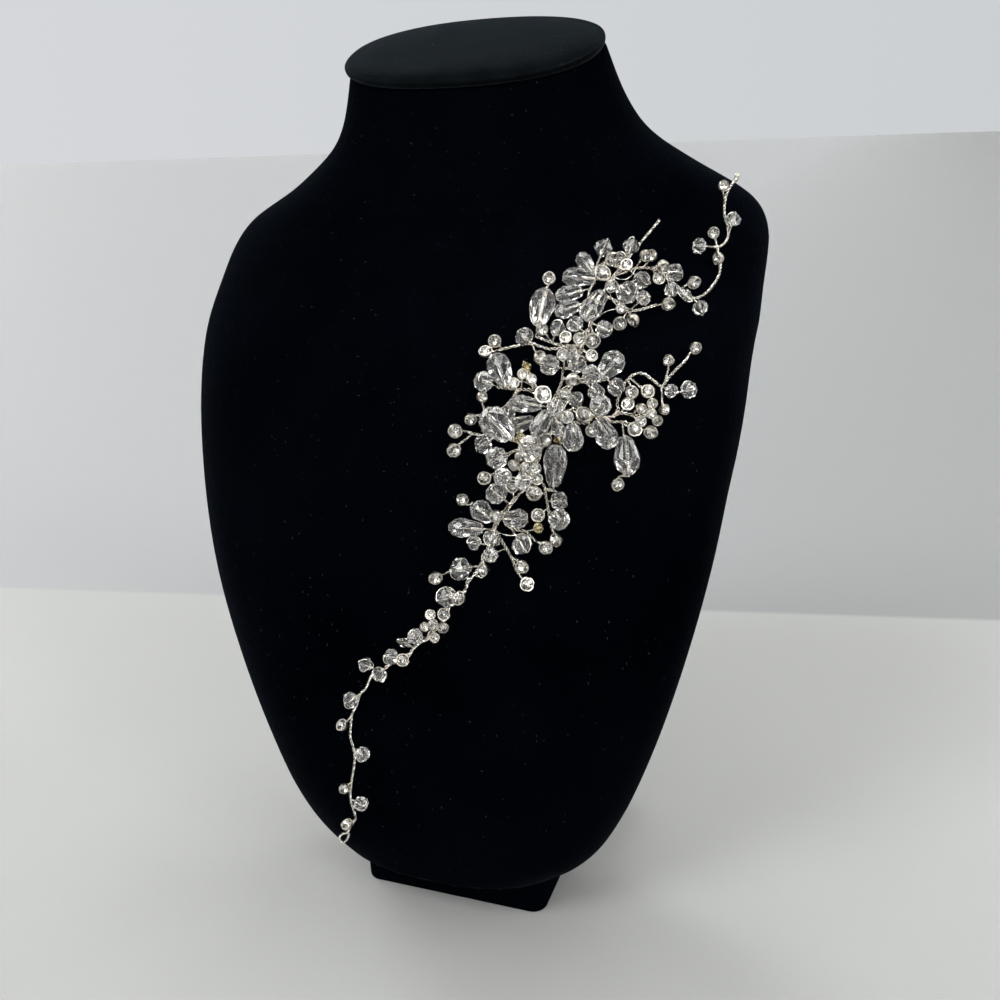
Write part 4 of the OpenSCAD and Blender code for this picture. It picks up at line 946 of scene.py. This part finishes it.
pick_faces(cup_model, lambda face: face.normal.z > 0.9)
for (_, radius), (rise, wider) in zip(WALL, WALL[1:]):
    lift(rise)
    bpy.ops.transform.resize(value=(wider / radius, wider / radius, 1))
bpy.ops.mesh.inset(thickness=RIM)
lift(-WELL)
pick_faces(cup_model, lambda face: face.normal.z > 0.9 and face.center.z > 1
           and abs(math.sin(2 * math.atan2(face.center.y, face.center.x))) > 0.93)
lift(CLAW)
bpy.ops.transform.resize(value=(0.88, 0.88, 1), center_override=(0, 0, 1.3))
bpy.ops.object.mode_set(mode="OBJECT")
bpy.ops.object.shade_smooth_by_angle(angle=math.radians(35))
cups = copies("silver_cups_pressed", cup_model, in_cups)
dress(cups, silver("silver_cup_metal", (0.77, 0.74, 0.68), 0.2, 0.36), "silver_cup", "stone_cups")
bpy.data.objects.remove(cup_model)


# ==== Where it stands ====
# A plain pale floor with a soft change of tone behind the stand, where it is painted darker towards the
# right as a painted shade, soft studio light, and the camera where the photograph was taken.
let_go()
bpy.ops.mesh.primitive_plane_add(size=12, location=(0, 0, 0))
floor = bpy.context.object
floor.name = "pale_floor"
material, tree, shader = new_material("pale_floor_paint", Roughness=0.7, Specular_IOR_Level=0.2)
place = add_node(tree, "TexCoord").outputs["Object"]
across, deep, _ = add_node(tree, "SeparateXYZ", Vector=place).outputs
LINE, LEAN, SOFT = 0.197, 0.1807, 0.002  # where the tone changes behind the stand, its slope and softness
lean = math_of(tree, "MULTIPLY", across, LEAN)
behind = add_node(tree, "MapRange", From_Min=LINE - SOFT, From_Max=LINE + SOFT)
feed_all(behind, Value=math_of(tree, "SUBTRACT", deep, lean))
near = mix_of(tree, uneven(tree, 8, 0, 1), (0.366, 0.374, 0.37), (0.374, 0.382, 0.379))
far = mix_of(tree, uneven(tree, 3, 0, 1), (0.322, 0.333, 0.343), (0.327, 0.337, 0.347))
# Behind the line the floor is painted darker towards the right: a painted shade, where less light falls
painted_shade_right = add_node(tree, "MapRange", Value=across, From_Min=-0.3, From_Max=0.4)
far = mix_of(tree, painted_shade_right.outputs["Result"], far, (0.238, 0.249, 0.249))
feed_all(shader, Base_Color=mix_of(tree, behind.outputs["Result"], near, far))
floor.data.materials.append(material)

# The room is dark with bright windows, which the stones mirror. The camera sees a wall instead, painted
# darker towards the right as a painted shade.
sky = bpy.data.worlds.new("pale_room")
sky.use_nodes = True
tree = sky.node_tree
direction = add_node(tree, "TexCoord").outputs["Generated"]
windows = add_node(tree, "TexNoise", Vector=direction, Scale=4.5, Detail=1)
edge = add_node(tree, "MapRange", Value=windows.outputs["Fac"], From_Min=0.58, From_Max=0.6)
room = mix_of(tree, edge.outputs["Result"], (0.1, 0.1, 0.103), (5.2, 5.15, 5.0))
seen = add_node(tree, "LightPath").outputs["Is Camera Ray"]
across = add_node(tree, "SeparateXYZ", Vector=direction).outputs["X"]
# The wall is painted darker towards the right: a painted shade
painted_shade_right = add_node(tree, "MapRange", Value=across, From_Min=-0.7, From_Max=0.3)
wall = mix_of(tree, painted_shade_right.outputs["Result"], (0.665, 0.68, 0.71), (0.585, 0.61, 0.62))
feed_all(tree.nodes["Background"], Color=mix_of(tree, seen, room, wall))
bpy.context.scene.world = sky


def soft_sun(name, towards, spread, strength):
    """A soft light far away in this direction, as wide as this angle."""
    let_go()
    bpy.ops.object.light_add(type="SUN", location=(0, 0, 1))
    lamp = bpy.context.object
    lamp.name = name
    lamp.data.angle = math.radians(spread)
    lamp.data.energy = strength
    lamp.rotation_euler = Vector(towards).to_track_quat("Z", "Y").to_euler()


soft_sun("key_light", (-0.6, -0.9, 1.1), 22, 1.0)
soft_sun("side_light", (1.0, -0.5, 0.6), 16, 0.6)
soft_sun("top_light", (0.1, 0.25, 1), 30, 0.6)
soft_sun("edge_light", (-1.0, 0.6, 0.5), 20, 1.1)

bpy.context.scene.view_settings.view_transform = "Standard"
yaw, pitch, roll = (math.radians(a) for a in (20.9, 20.1, -2.8))
ahead = Vector((-math.sin(yaw) * math.cos(pitch), math.cos(yaw) * math.cos(pitch), -math.sin(pitch)))
level = Vector((math.cos(yaw), math.sin(yaw), 0))
right = level * math.cos(roll) + level.cross(ahead) * math.sin(roll)
let_go()
bpy.ops.object.camera_add(location=(0.1293, -0.2974, 0.2484))
camera = bpy.context.object
camera.rotation_euler = Matrix((right, right.cross(ahead), -ahead)).transposed().to_euler()
camera.data.lens, camera.data.sensor_width = 38.99, 36
camera.data.clip_start, camera.data.clip_end = 0.01, 20
bpy.context.scene.camera = camera
